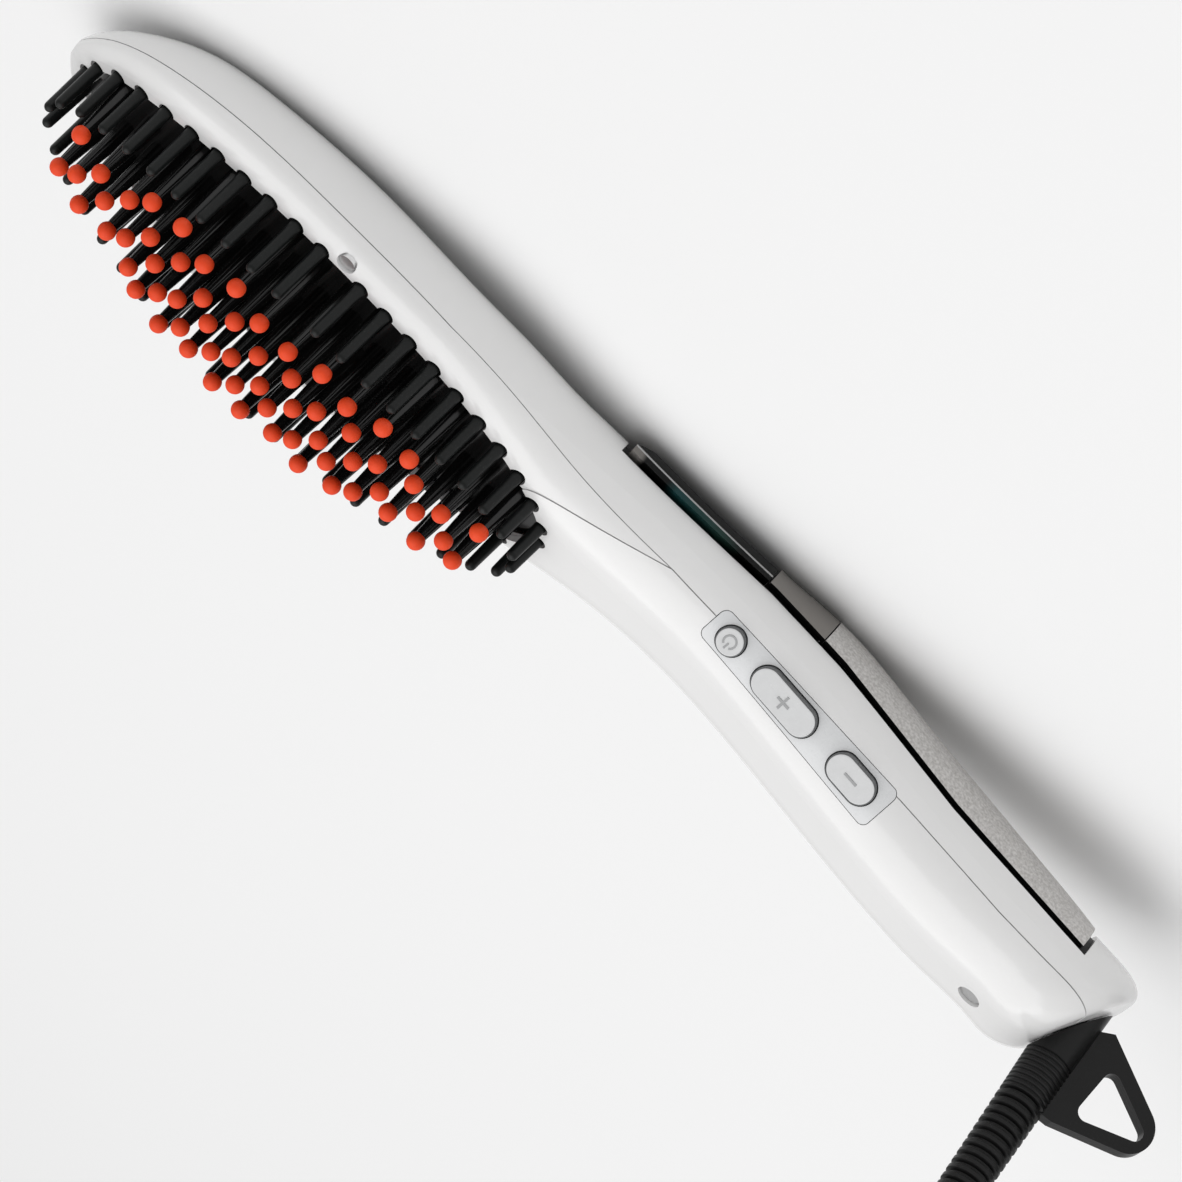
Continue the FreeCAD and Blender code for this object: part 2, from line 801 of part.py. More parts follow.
def make_cover_gasket():
    """Black gasket set back in the gap between the white shell and the back covers."""
    hoop = body_loft(gasket_inset).cut(body_loft(gasket_inset + gasket_wall))
    return largest(hoop.common(cover_region(0, 0)).cut(cover_region(cover_gap, cover_gap)))


def make_lcd_module():
    """Display module under the tray's floor, as sloped as the joint."""
    ends = cover_ends()
    middle = (ends[4] + ends[5] - lens_chamfer_length) / 2
    top = Vector(middle, 0, joint_height(middle, lens_rim_thickness))
    turn = FreeCAD.Rotation(x_axis, Vector(1, 0, lens_joint_slope_share))
    module = block(0, 0, -lcd_thickness, lcd_length, lcd_width, lcd_thickness)
    return placed(module, FreeCAD.Placement(top, turn))


def button_sizes():
    """Name, place along the panel, length and width of each button."""
    return (
        ("power_button", power_place, power_diameter, power_diameter),
        ("plus_button", plus_place, plus_length, button_width),
        ("minus_button", minus_place, minus_length, button_width),
    )


def plunger_top():
    """Height of the switch plungers, just past the buttons' travel."""
    return nub_bottom - button_travel - switch_plunger_gap


def switch_board_top():
    """Height of the switch board's face in the panel's frame."""
    return plunger_top() - switch_plunger_height - switch_height


def make_button_bezel(shell):
    """Grey button panel, a piece of the wall with the button holes and two posts for the switch board."""
    plate = shell.common(placed(bezel_outline(0, -overrun / 4, overrun / 4), bezel_frame()))
    holes = []
    for name, place, length, width in button_sizes():
        hole = pill(length + 2 * button_gap, width + 2 * button_gap, -overrun / 4, overrun / 4)
        hole.translate(Vector(place, 0, 0))
        holes.append(placed(hole, bezel_frame()))
    posts = [placed(post(bezel_post_radius, x, 0, switch_board_top(), -wall / 2), bezel_frame())
             for x in bezel_post_places]
    return largest(largest(plate.cut(holes)).fuse(posts))


def make_button(place, length, width):
    """One push button: softened cap, retaining flange behind the panel and a nub over its switch."""
    cap = pill(length, width, flange_top, button_top)
    rim = [edge for edge in cap.Edges if edge.BoundBox.ZMin > button_top - button_edge]
    cap = cap.makeFillet(button_edge, rim)
    flange_low = flange_top - flange_thickness
    flange = pill(length + 2 * flange_margin, width + 2 * flange_margin, flange_low, flange_top)
    nub = post(nub_radius, 0, 0, nub_bottom, flange_low)
    button = cap.fuse([flange, nub])
    button.translate(Vector(place, 0, 0))
    return largest(placed(button, bezel_frame()))


def make_switch_board():
    """Small board behind the buttons."""
    low = switch_board_top() - switch_board_thickness
    length = bezel_length - 2 * bezel_corner
    return placed(block(0, 0, low, length, switch_board_width, switch_board_thickness), bezel_frame())


def make_tact_switches():
    """Three push switches on the switch board."""
    solids = []
    for name, place, length, width in button_sizes():
        case = block(place, 0, switch_board_top(), switch_side, switch_side, switch_height)
        plunger = post(switch_plunger_radius, place, 0, switch_board_top() + switch_height, plunger_top())
        solids.append(placed(largest(case.fuse(plunger)), bezel_frame()))
    return group(solids)


def board_tail():
    """Tail end of the control board."""
    return board_tail_share * body_length


def board_screw_places():
    """The four screws of the control board."""
    low = board_tail() + board_post_inset
    return [(x, y) for x in (low, low + board_post_span) for y in (board_post_side, -board_post_side)]


def make_board_parts():
    """Control board with its screws, capacitor, triac and mains terminal block."""
    low = board_tail()
    top = board_height + board_thickness
    corner = Vector(low, -board_width / 2, board_height)
    bore_radius = board_screw_radius + bore_clearance
    bores = [post(bore_radius, x, y, board_height, top) for x, y in board_screw_places()]
    board = Part.makeBox(board_length, board_width, board_thickness, corner).cut(bores)
    screws = []
    for x, y in board_screw_places():
        head = post(board_screw_head_radius, x, y, top, top + board_screw_head)
        shank_low = board_height - board_screw_reach + clearance
        shank = post(board_screw_radius - 2 * bore_clearance, x, y, shank_low, top)
        screws.append(largest(head.fuse(shank)))
    side = board_width / 4
    capacitor = post(capacitor_radius, low + board_length / 3, side, top, top + capacitor_height)
    triac = block(low + board_length / 2, side, top, triac_length, triac_width, triac_height)
    mains = block(low + mains_block_length, 0, top, mains_block_length, mains_block_width, mains_block_height)
    return {
        "control_board": largest(board),
        "board_screws": group(screws),
        "capacitor": capacitor,
        "triac": triac,
        "mains_terminal": mains,
    }


def arc_through(start, corner, end):
    """Arc that leaves the start and reaches the end along the two sides that meet in the corner."""
    middle = (start + end) / 2
    half_turn = (corner - start).getAngle(end - corner) / 2
    share = math.tan(half_turn / 2) / math.tan(half_turn)
    return Part.Arc(start, middle + (corner - middle) * share, end).toShape()


def bent_path(points):
    """Straight runs joined by tangent arcs, and the arcs' radii."""
    edges = []
    radii = []
    last = points[0]
    for before, corner, after in zip(points, points[1:], points[2:]):
        back = corner - before
        ahead = after - corner
        reach = bend_share * min(back.Length, ahead.Length)
        start = corner - back.normalize() * reach
        end = corner + ahead.normalize() * reach
        edges.append(Part.LineSegment(last, start).toShape())
        edges.append(arc_through(start, corner, end))
        radii.append(reach / math.tan(back.getAngle(ahead) / 2))
        last = end
    edges.append(Part.LineSegment(last, points[-1]).toShape())
    return edges, radii


def tube_along(edges, radius):
    """Round tube along joined edges."""
    start = edges[0].Vertexes[0].Point
    ahead = edges[0].tangentAt(edges[0].FirstParameter)
    ring = Part.Wire([Part.Circle(start, ahead, radius).toShape()])
    return Part.Wire(edges).makePipeShell([ring], True, False)


def make_swivel():
    """Spool that turns in the tail wall, its slip rings, the plate that keeps it and the plate's wipers."""
    frame = swivel_frame()
    wall_back = -wall
    flange_front = wall_back - clearance
    flange_back = flange_front - swivel_flange_thickness
    plate_front = flange_back - clearance
    plate_back = plate_front - retainer_thickness
    stub_end = flange_back - swivel_stub_length
    spool = rod(flange_front, running_gap, swivel_neck_radius)
    flange = rod(flange_back, flange_front, swivel_flange_radius)
    spool = spool.fuse([flange, rod(stub_end, flange_back, swivel_stub_radius)])
    bore = rod(plate_back, plate_front, swivel_stub_radius + running_gap)
    plate = rod(plate_back, plate_front, overrun).cut(bore)
    plate = placed(plate, frame).common(body_loft(wall + clearance))
    rings = []
    wipers = []
    high = plate_back - contact_ring_gap
    for side in (1, -1):
        low = high - contact_ring_width
        band = rod(low, high, swivel_ring_radius).cut(rod(low, high, swivel_stub_radius))
        rings.append(placed(band, frame))
        middle = side * (swivel_ring_radius + clearance + wiper_thickness / 2)
        arm = Part.makeBox(plate_back - low, wiper_thickness, wiper_width,
                           Vector(low, middle - wiper_thickness / 2, -wiper_width / 2))
        wipers.append(placed(arm, frame))
        high = low - contact_ring_gap
    return {
        "swivel_head": placed(largest(spool), frame),
        "swivel_retainer": largest(plate),
        "contact_rings": group(rings),
        "spring_contacts": group(wipers),
    }


def sleeve_frame():
    """Placement at the swivel's root whose X axis runs up the sleeve and Z axis points past the tail."""
    lean = math.radians(sleeve_lean)
    ahead = Vector(math.sin(lean), 0, math.cos(lean))
    return FreeCAD.Placement(swivel_frame().Base, FreeCAD.Rotation(x_axis, ahead))


def sleeve_length():
    """Length of the sleeve from the swivel's root to its end."""
    return collar_length + fine_ribs * fine_pitch + coarse_ribs * coarse_pitch + sleeve_end_length


def sleeve_profile():
    """Lengths and radii of the sleeve: smooth collar, fine ribs, coarse ribs and a plain end."""
    profile = [(-collar_length, sleeve_root_radius), (collar_length, sleeve_collar_radius)]
    x = collar_length
    ribbed = sleeve_length() - collar_length - sleeve_end_length
    families = ((fine_ribs, fine_pitch, fine_depth), (coarse_ribs, coarse_pitch, coarse_depth))
    for count, pitch, depth in families:
        for index in range(count):
            share = (x - collar_length) / ribbed
            crest = sleeve_collar_radius + share * (sleeve_end_radius - sleeve_collar_radius)
            for along_share, depth_share in rib_shares:
                profile.append((x + along_share * pitch, crest - depth_share * depth))
            x += pitch
    profile.append((sleeve_length(), sleeve_end_radius - coarse_depth))
    return profile


def loop_plate(shares):
    """Flat plate in the sleeve's XZ plane with sharp corners, as shares of the loop's height and reach."""
    points = [Vector(along * loop_height, -loop_thickness / 2, out * loop_reach) for along, out in shares]
    return Part.Face(Part.makePolygon(points + points[:1])).extrude(Vector(0, loop_thickness, 0))


def upright_edges(plate, reach):
    """Edges across the loop's plate that lie at least reach past the sleeve's middle."""
    across = [edge for edge in plate.Edges if edge.BoundBox.YLength > loop_thickness / 2]
    return [edge for edge in across if edge.BoundBox.ZMin > reach]


def make_hang_loop():
    """Three-cornered hang loop: a plate with a broad round end and a rounded hole."""
    plate = loop_plate(loop_outer_shares)
    plate = plate.makeFillet(loop_apex_radius, upright_edges(plate, loop_reach - loop_corner))
    hole = loop_plate(loop_hole_shares)
    return plate.cut(hole.makeFillet(loop_corner, upright_edges(hole, 0)))


def make_strain_relief():
    """Ribbed rubber sleeve with the hang loop, cut off a little outside the tail wall."""
    circles = [Part.Circle(Vector(x, 0, 0), x_axis, radius) for x, radius in sleeve_profile()]
    rings = [Part.Wire([circle.toShape()]) for circle in circles]
    sleeve = Part.makeLoft(rings, True, True)
    relief = placed(sleeve.fuse(make_hang_loop()), sleeve_frame())
    return largest(relief.cut(placed(rod(-overrun, running_gap, overrun), swivel_frame())))


def make_leads():
    """Wires from the mains terminal to the spring contacts and from the board to the heater."""
    board_top = board_height + board_thickness
    low = board_top + lead_radius + clearance
    heater_end = field_middle - heater_length / 2
    heater_level = ring_top - heater_thickness / 2
    board_end = board_tail() + board_length
    terminal = board_tail() + mains_block_length / 2
    heater_leads = []
    cord_leads = []
    for side in (lead_side, -lead_side):
        route = [Vector(board_end - board_post_inset, side, low),
                 Vector(board_end + board_post_inset, side, low),
                 Vector(heater_end - 2 * board_post_inset, side, heater_level),
                 Vector(heater_end, side, heater_level)]
        heater_leads.append(tube_along(bent_path(route)[0], lead_radius))
        behind = -wall - swivel_stub_length - lead_radius
        first = swivel_frame().multVec(Vector(behind, math.copysign(lead_route_side, side), 0))
        route = [first,
                 first + Vector(lead_straight, 0, 0),
                 Vector(terminal - lead_straight, side, low + lead_radius),
                 Vector(terminal, side, low + lead_radius)]
        cord_leads.append(tube_along(bent_path(route)[0], lead_radius))
    return {"heater_leads": group(heater_leads), "cord_leads": group(cord_leads)}


def cord_points(start, ahead):
    """Corners of the cord's route: up from the sleeve, over in an arch, down and along to the coil."""
    aim = math.radians(arch_aim)
    away = Vector(-math.cos(aim), math.sin(aim), 0)
    points = [start, start + ahead * cord_rise]
    for index in range(1, arch_turns):
        turn = math.pi * index / arch_turns
        points.append(points[-1] + (away * math.sin(turn) + z_axis * math.cos(turn)) * arch_run)
    landing = []
    for index in range(1, landing_turns + 1):
        turn = math.pi / 2 * index / landing_turns
        landing.append(Vector(-math.sin(turn), 0, -math.cos(turn)) * landing_run)
    fall = points[-1].z - coil_level() + sum(step.z for step in landing)
    drop = fall / cord_drop_runs
    side = math.tan(math.radians(cord_drop_lean)) * drop
    for index in range(cord_drop_runs):
        side = -side
        points.append(points[-1] + Vector(side, 0, -drop))
    for step in landing:
        points.append(points[-1] + step)
    return points


def coil_level():
    """Height of the coil's lower turns."""
    return cord_diameter / 2 + coil_lift


def coil_stations(start):
    """Points and directions at each quarter turn: in along the floor, up a layer, and out again above."""
    middle = start - Vector(0, coil_radius, 0)
    step = coil_pitch / 4
    inner = coil_radius - coil_quarters * step
    last = 2 * coil_quarters + 2
    stations = []
    for index in range(last + 1):
        if index <= coil_quarters:
            radius, level, drift = coil_radius - index * step, 0, -step
        elif index == coil_quarters + 1:
            radius, level, drift = inner - coil_dip, coil_pitch / 2, 0
        else:
            radius, level, drift = inner + (index - coil_quarters - 2) * step, coil_pitch, step
        climb = coil_pitch / 2 if index == coil_quarters + 1 else 0
        if index in (0, coil_quarters, coil_quarters + 2, last):
            drift = 0
        angle = math.pi / 2 * (index + 1)
        out = Vector(math.cos(angle), math.sin(angle), 0)
        round_about = Vector(-math.sin(angle), math.cos(angle), 0)
        ahead = out * drift + round_about * (radius * math.pi / 2) + z_axis * climb
        stations.append((middle + out * radius + z_axis * level, ahead.normalize()))
    return stations


def biarc(start, start_ahead, end, end_ahead):
    """Two arcs that join two points with given directions."""
    gap = end - start
    both = start_ahead + end_ahead
    apart = 2 * (1 - start_ahead.dot(end_ahead))
    reach = (math.sqrt(gap.dot(both) ** 2 + apart * gap.dot(gap)) - gap.dot(both)) / apart
    first = start + start_ahead * reach
    second = end - end_ahead * reach
    middle = (first + second) / 2
    return [arc_through(start, first, middle), arc_through(middle, second, end)]


def coil_edges(start):
    """Path of the coil, with a short straight end on each side."""
    stations = coil_stations(start)
    first, first_ahead = stations[0]
    last, last_ahead = stations[-1]
    edges = [Part.LineSegment(first - first_ahead * coil_straight, first).toShape()]
    for here, there in zip(stations, stations[1:]):
        edges.extend(biarc(here[0], here[1], there[0], there[1]))
    edges.append(Part.LineSegment(last, last + last_ahead * coil_straight).toShape())
    return edges


def least_gap(edges, diameter):
    """Least gap between stretches of a tube that lie more than half a turn apart along it."""
    spots = []
    along = 0
    for edge in edges:
        count = max(2, int(edge.Length / (diameter / 2)))
        for index in range(count):
            share = index / count
            spot = edge.valueAt(edge.FirstParameter + share * (edge.LastParameter - edge.FirstParameter))
            spots.append((along + share * edge.Length, spot))
        along += edge.Length
    apart = math.pi * (coil_radius - coil_pitch * coil_quarters / 4)
    gaps = [(one - other).Length for here, one in spots for there, other in spots if there - here > apart]
    return min(gaps) - diameter


def lead_points(start, ahead):
    """Corners of the lead that turns back from the coil's end and climbs to the plug on the coil."""
    side = Vector(-ahead.y, ahead.x, 0)
    rise = (plug_level() - start.z) / lead_climb_runs
    points = [start, start + ahead * lead_run]
    for index in range(1, lead_turns + 1):
        turn = math.pi * index / lead_turns
        step = ahead * math.cos(turn) + side * math.sin(turn)
        climb = rise if index <= lead_climb_runs else 0
        points.append(points[-1] + step * lead_run + z_axis * climb)
    return points


def plug_level():
    """Height of the plug's middle, lying on the coil's upper turns."""
    return coil_level() + coil_pitch + cord_diameter / 2 + plug_rest_gap + plug_height / 2


def make_coil_tie(start):
    """Flat tie round the bundle of turns on the side of the coil that faces the brush."""
    inner = coil_radius - coil_pitch * coil_quarters / 4 - coil_dip - cord_diameter / 2 - tie_gap
    outer = coil_radius - coil_pitch / 4 + cord_diameter / 2 + tie_gap
    low = coil_level() - cord_diameter / 2 - tie_gap
    tall = coil_pitch + cord_diameter + 2 * tie_gap
    side = start.y - coil_radius - tie_width / 2
    hole = Part.makeBox(outer - inner, tie_width, tall, Vector(start.x + inner, side, low))
    grown = 2 * tie_thickness
    corner = Vector(start.x + inner - tie_thickness, side, low - tie_thickness)
    return Part.makeBox(outer - inner + grown, tie_width, tall + grown, corner).cut(hole)


def make_plug(place):
    """Flat two-pin plug, its grip at the given place and its pins pointing away from the brush."""
    turn = FreeCAD.Placement(place, FreeCAD.Rotation(z_axis, half_turn))
    corner = Vector(plug_grip, -plug_width / 2, -plug_height / 2)
    body = Part.makeBox(plug_length, plug_width, plug_height, corner)
    along = [edge for edge in body.Edges if edge.BoundBox.XLength > plug_length / 2]
    body = body.makeFillet(plug_corner, along)
    grip = Part.makeCone(plug_grip_radius, plug_grip_radius + plug_grip_taper, plug_grip, origin, x_axis)
    end = plug_grip + plug_length
    roots = [Vector(end, side * plug_pin_spacing / 2, 0) for side in (1, -1)]
    pins = [Part.makeCylinder(plug_pin_radius, plug_pin_length, root, x_axis) for root in roots]
    return {
        "plug_body": placed(largest(body.fuse(grip)), turn),
        "plug_pins": group([placed(pin, turn) for pin in pins]),
    }


def make_cord(start, ahead):
    """Free cord, its tied coil on the floor, the lead on the coil and the plug."""
    route = cord_points(start, ahead)
    free_edges, radii = bent_path(route)
    print("cord bend radii", [round(radius, 1) for radius in radii])
    entry = route[-1] + Vector(-coil_straight, 0, 0)
    wound_edges = coil_edges(entry)
    print("coil least gap", round(least_gap(wound_edges, cord_diameter), 2))
    wound_end = wound_edges[-1].Vertexes[-1].Point
    lead = lead_points(wound_end, x_axis)
    lead_edges, radii = bent_path(lead)
    print("lead bend radii", [round(radius, 1) for radius in radii])
    parts = {
        "power_cord": tube_along(free_edges, cord_diameter / 2),
        "cord_coil": tube_along(wound_edges, cord_diameter / 2),
        "plug_lead": tube_along(lead_edges, cord_diameter / 2),
        "coil_tie": make_coil_tie(entry),
    }
    parts.update(make_plug(lead[-1]))
    area = math.pi * cord_diameter ** 2 / 4
    for name, edges in (("power_cord", free_edges), ("cord_coil", wound_edges), ("plug_lead", lead_edges)):
        length = sum(edge.Length for edge in edges)
        print(name, "length", round(length, 1), "volume share", round(parts[name].Volume / area / length, 3))
    for name, points in (("cord", route), ("lead", lead)):
        print(name, "points", [[round(value, 2) for value in point] for point in points])
    print("coil middle", [round(value, 2) for value in entry - Vector(0, coil_radius, 0)])
    return parts


def tilted(shape, angle):
    """A copy of a shape turned about the Y axis, the tip going down."""
    return placed(shape, FreeCAD.Placement(origin, FreeCAD.Rotation(y_axis, angle)))


def lowest(shape, angle):
    """Lowest point of a shape turned by an angle."""
    return tilted(shape, angle).optimalBoundingBox(False).ZMin


def rest_angle(head_back, panel):
    """Turn at which the head's back and the back panel touch the same floor."""
    flat = 0
    steep = rest_angle_limit
    for _ in range(rest_steps):
        middle = (flat + steep) / 2
        if lowest(head_back, middle) > lowest(panel, middle):
            flat = middle
        else:
            steep = middle
    return (flat + steep) / 2


def make_brush():
    """Every piece of the brush in the head's own frame, by name."""
    outer = body_loft(0)
    inner = body_loft(wall)
    shell = outer.cut(inner)
    pieces = {
        "back_shell": make_back_shell(shell, inner),
        "head_frame": make_head_frame(shell),
        "handle_cover": make_handle_cover(shell, inner),
        "bristle_ring": make_bristle_ring(body_loft(wall + clearance)),
        "outer_bristles": make_outer_bristles(),
        "heat_plate": make_heat_plate(),
        "heat_pins": make_heat_pins(),
        "pin_caps": make_pin_caps(),
        "head_screws": make_head_screws(),
        "tail_screw": make_tail_screw(),
        "panel_gasket": make_cover_gasket(),
        "lcd_module": make_lcd_module(),
        "button_bezel": make_button_bezel(shell),
        "switch_board": make_switch_board(),
        "tact_switches": make_tact_switches(),
        "strain_relief": make_strain_relief(),
    }
    for name, place, length, width in button_sizes():
        pieces[name] = make_button(place, length, width)
    for family in (make_heater_parts(), make_covers(), make_board_parts(), make_swivel(), make_leads()):
        pieces.update(family)
    return pieces


def rest_placement(pieces):
    """Placement that lays the brush on its back with the bottom of its box on the floor at the origin."""
    head_slab = slab(field_middle - field_half_length, body_length, -overrun, overrun)
    head_back = pieces["back_shell"].common(head_slab)
    angle = rest_angle(head_back, pieces["back_panel"])
    boxes = [tilted(pieces[name], angle).optimalBoundingBox(False)
             for name in ("strain_relief", "back_shell", "head_frame", "back_panel")]
    x_middle = (min(box.XMin for box in boxes) + max(box.XMax for box in boxes)) / 2
    z_low = min(box.ZMin for box in boxes)
    print("rest angle", round(angle, 3), "shift", round(-x_middle, 3), round(-z_low, 3))
    return FreeCAD.Placement(Vector(-x_middle, 0, -z_low), FreeCAD.Rotation(y_axis, angle))


def main():
    """Builds, lays down and writes every piece."""
    os.makedirs("parts", exist_ok=True)
    pieces = make_brush()
    rest = rest_placement(pieces)
    laid = {name: placed(shape, rest) for name, shape in pieces.items()}
    sleeve = rest.multiply(sleeve_frame())
    sleeve_end = sleeve.multVec(Vector(sleeve_length(), 0, 0))
    laid.update(make_cord(sleeve_end, sleeve.Rotation.multVec(x_axis)))
    for name, shape in laid.items():
        print(name, shape.isValid(), len(shape.Solids), round(shape.Volume, 1))
        shape.exportStep("parts/" + name + ".step")
    swivel = rest.multiply(swivel_frame())
    panel = rest.multiply(bezel_frame())
    hole_height = sum(along for along, out in loop_hole_shares) / len(loop_hole_shares) * loop_height
    hole_reach = sum(out for along, out in loop_hole_shares) / len(loop_hole_shares) * loop_reach
    print("swivel place", list(swivel.Base), "axis", list(swivel.Rotation.multVec(x_axis)))
    print("button axis", list(panel.Rotation.multVec(z_axis)))
    print("loop hole middle", list(sleeve.multVec(Vector(hole_height, 0, hole_reach))))


if __name__ == "__main__":
    main()
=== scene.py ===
"""Studio scene of a corded hair straightening brush that lies on its back, dressed around its CAD frame."""

from __future__ import annotations

import json
import logging
import math
from dataclasses import dataclass
from enum import Enum
from typing import Any, Callable

import bmesh
import bpy
from mathutils import Matrix, Vector

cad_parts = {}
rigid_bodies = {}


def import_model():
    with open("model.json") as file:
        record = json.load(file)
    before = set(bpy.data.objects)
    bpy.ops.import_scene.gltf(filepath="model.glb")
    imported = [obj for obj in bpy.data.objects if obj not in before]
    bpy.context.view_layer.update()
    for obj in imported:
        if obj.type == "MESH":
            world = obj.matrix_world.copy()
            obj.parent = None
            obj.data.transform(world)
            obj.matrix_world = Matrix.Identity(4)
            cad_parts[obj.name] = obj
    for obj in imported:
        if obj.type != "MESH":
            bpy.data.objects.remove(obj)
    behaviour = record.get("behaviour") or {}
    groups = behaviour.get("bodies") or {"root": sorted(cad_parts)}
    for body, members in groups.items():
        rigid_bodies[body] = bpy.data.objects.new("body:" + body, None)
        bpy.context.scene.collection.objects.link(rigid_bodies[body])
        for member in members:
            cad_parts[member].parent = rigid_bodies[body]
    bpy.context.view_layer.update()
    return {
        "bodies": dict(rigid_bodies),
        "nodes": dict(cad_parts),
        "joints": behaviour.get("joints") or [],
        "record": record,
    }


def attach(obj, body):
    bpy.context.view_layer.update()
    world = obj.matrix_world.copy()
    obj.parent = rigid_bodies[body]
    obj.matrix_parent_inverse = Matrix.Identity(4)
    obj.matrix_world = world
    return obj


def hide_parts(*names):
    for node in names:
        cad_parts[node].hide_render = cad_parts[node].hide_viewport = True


LOG = logging.getLogger("brush_scene")
MM = 0.001
NOISE_MIDDLE = 0.5

# Radians between two faces: past the first an edge gets rounded, past the second its shading breaks.
SHARP_ANGLE = 1.0
SHADING_ANGLE = math.radians(35)

# How far a face's normal points up on the covers' step, painted black as shade in the gap under the shell,
# and ahead on the lens's grey end.
PAINTED_SHADE_STEP_LEAST = 0.25
LENS_END_LEAST = 0.3

Colour = tuple[float, float, float, float]
Point = tuple[float, float, float]
Outline = tuple[tuple[float, float], ...]


def grey(value: float, warmth: float = 0.0) -> Colour:
    """A grey, a little warmer or cooler than neutral."""
    return (value + warmth, value, value - warmth, 1.0)


class Wire:
    """A shader socket whose arithmetic adds Math nodes."""

    def __init__(self, graph: Graph, socket: bpy.types.NodeSocket) -> None:
        """Keeps the graph and the socket that the value comes from."""
        self.graph = graph
        self.socket = socket

    def _math(self, operation: str, first: Any, second: Any) -> Wire:
        """Adds one Math node.

        Args:
            operation: Blender's name of the operation.
            first: a number or a Wire.
            second: a number or a Wire.

        Returns:
            The node's value.
        """
        return self.graph.node("ShaderNodeMath", {"operation": operation}, {0: first, 1: second})

    def __add__(self, other: Any) -> Wire:
        """Sum."""
        return self._math("ADD", self, other)

    __radd__ = __add__

    def __mul__(self, other: Any) -> Wire:
        """Product."""
        return self._math("MULTIPLY", self, other)

    __rmul__ = __mul__

    def __sub__(self, other: Any) -> Wire:
        """Difference."""
        return self._math("SUBTRACT", self, other)

    def __rsub__(self, other: Any) -> Wire:
        """Difference from a number."""
        return self._math("SUBTRACT", other, self)


class Graph:
    """The node graph of one material, with its Principled shader."""

    def __init__(self, name: str) -> None:
        """Makes a material with a shader and an output.

        Args:
            name: the material's name.
        """
        self.material = bpy.data.materials.new(name)
        self.material.use_nodes = True
        self.tree = self.material.node_tree
        self.tree.nodes.clear()
        self.shader = self.tree.nodes.new("ShaderNodeBsdfPrincipled")
        output = self.tree.nodes.new("ShaderNodeOutputMaterial")
        self.tree.links.new(self.shader.outputs["BSDF"], output.inputs["Surface"])

    def _feed(self, node: bpy.types.Node, sockets: dict[Any, Any]) -> None:
        """Sets or links the input sockets of a node.

        Args:
            node: the node.
            sockets: input values or Wires by name or number.
        """
        for key, value in sockets.items():
            if isinstance(value, Wire):
                self.tree.links.new(value.socket, node.inputs[key])
            else:
                node.inputs[key].default_value = value

    def node(self, kind: str, settings: dict[str, Any], sockets: dict[Any, Any], output: Any = 0) -> Wire:
        """Adds a node.

        Args:
            kind: Blender's type name.
            settings: properties, set before the sockets; "stops" holds a ramp's stops.
            sockets: input values or Wires by name or number.
            output: name or number of the wanted output.

        Returns:
            The wanted output.
        """
        made = self.tree.nodes.new(kind)
        for key, value in settings.items():
            if key == "stops":
                ramp = made.color_ramp
                while len(ramp.elements) < len(value):
                    ramp.elements.new(1.0)
                for element, (place, colour) in zip(ramp.elements, value):
                    element.position = place
                    element.color = colour
            else:
                setattr(made, key, value)
        self._feed(made, sockets)
        return Wire(self, made.outputs[output])

    def place(self) -> Wire:
        """Object coordinates in metres."""
        return self.node("ShaderNodeTexCoord", {}, {}, "Object")

    def along(self, axis: str) -> Wire:
        """One object coordinate."""
        return self.node("ShaderNodeSeparateXYZ", {}, {0: self.place()}, axis)

    def noise(self, per_metre: float, detail: float = 2.0) -> Wire:
        """Noise between 0 and 1 with features of about one part in per_metre of a metre."""
        sockets = {"Vector": self.place(), "Scale": per_metre, "Detail": detail}
        return self.node("ShaderNodeTexNoise", {}, sockets, 0)

    def ramp(self, value: Wire, stops: list[tuple[float, Colour]]) -> Wire:
        """Colours by a value."""
        return self.node("ShaderNodeValToRGB", {"stops": stops}, {0: value})

    def mix(self, share: Any, first: Any, second: Any) -> Wire:
        """Mix of two colours."""
        sockets = {0: share, 6: first, 7: second}
        return self.node("ShaderNodeMix", {"data_type": "RGBA"}, sockets, 2)

    def bump(self, height: Wire, distance: float) -> Wire:
        """Normal from a height between 0 and 1."""
        return self.node("ShaderNodeBump", {}, {"Height": height, "Distance": distance, "Strength": 1.0}, 0)

    def finish(self, **sockets: Any) -> bpy.types.Material:
        """Feeds the shader and gives the material; underscores stand for spaces in the socket names."""
        self._feed(self.shader, {key.replace("_", " "): value for key, value in sockets.items()})
        return self.material


@dataclass(frozen=True)
class Plastic:
    """Moulded plastic with a soft mottle and a fine moulding texture."""

    name: str
    colour: Colour
    deep: Colour
    roughness: float = 0.25
    coat: float = 0.0
    metallic: float = 0.0
    grain_per_metre: float = 900.0
    grain_depth: float = 0.00002
    mottle_per_metre: float = 60.0
    contrast: float = 1.0
    specular: float = 0.5
    grain_detail: float = 3.0
    grain_roughness: float = 0.08
    coat_roughness: float = 0.08

    def tone(self, graph: Graph) -> Wire:
        """The base colour: its two tones, mixed by the mottle."""
        share = self.contrast * (graph.noise(self.mottle_per_metre) - NOISE_MIDDLE) + NOISE_MIDDLE
        return graph.mix(share, self.colour, self.deep)

    def make(self) -> bpy.types.Material:
        """Builds the material.

        Returns:
            The new material.
        """
        graph = Graph(self.name)
        grain = graph.noise(self.grain_per_metre, self.grain_detail)
        return graph.finish(
            Base_Color=self.tone(graph),
            Roughness=self.roughness + self.grain_roughness * (grain - NOISE_MIDDLE),
            Metallic=self.metallic,
            Coat_Weight=self.coat,
            Coat_Roughness=self.coat_roughness,
            Specular_IOR_Level=self.specular,
            Normal=graph.bump(grain, self.grain_depth),
        )


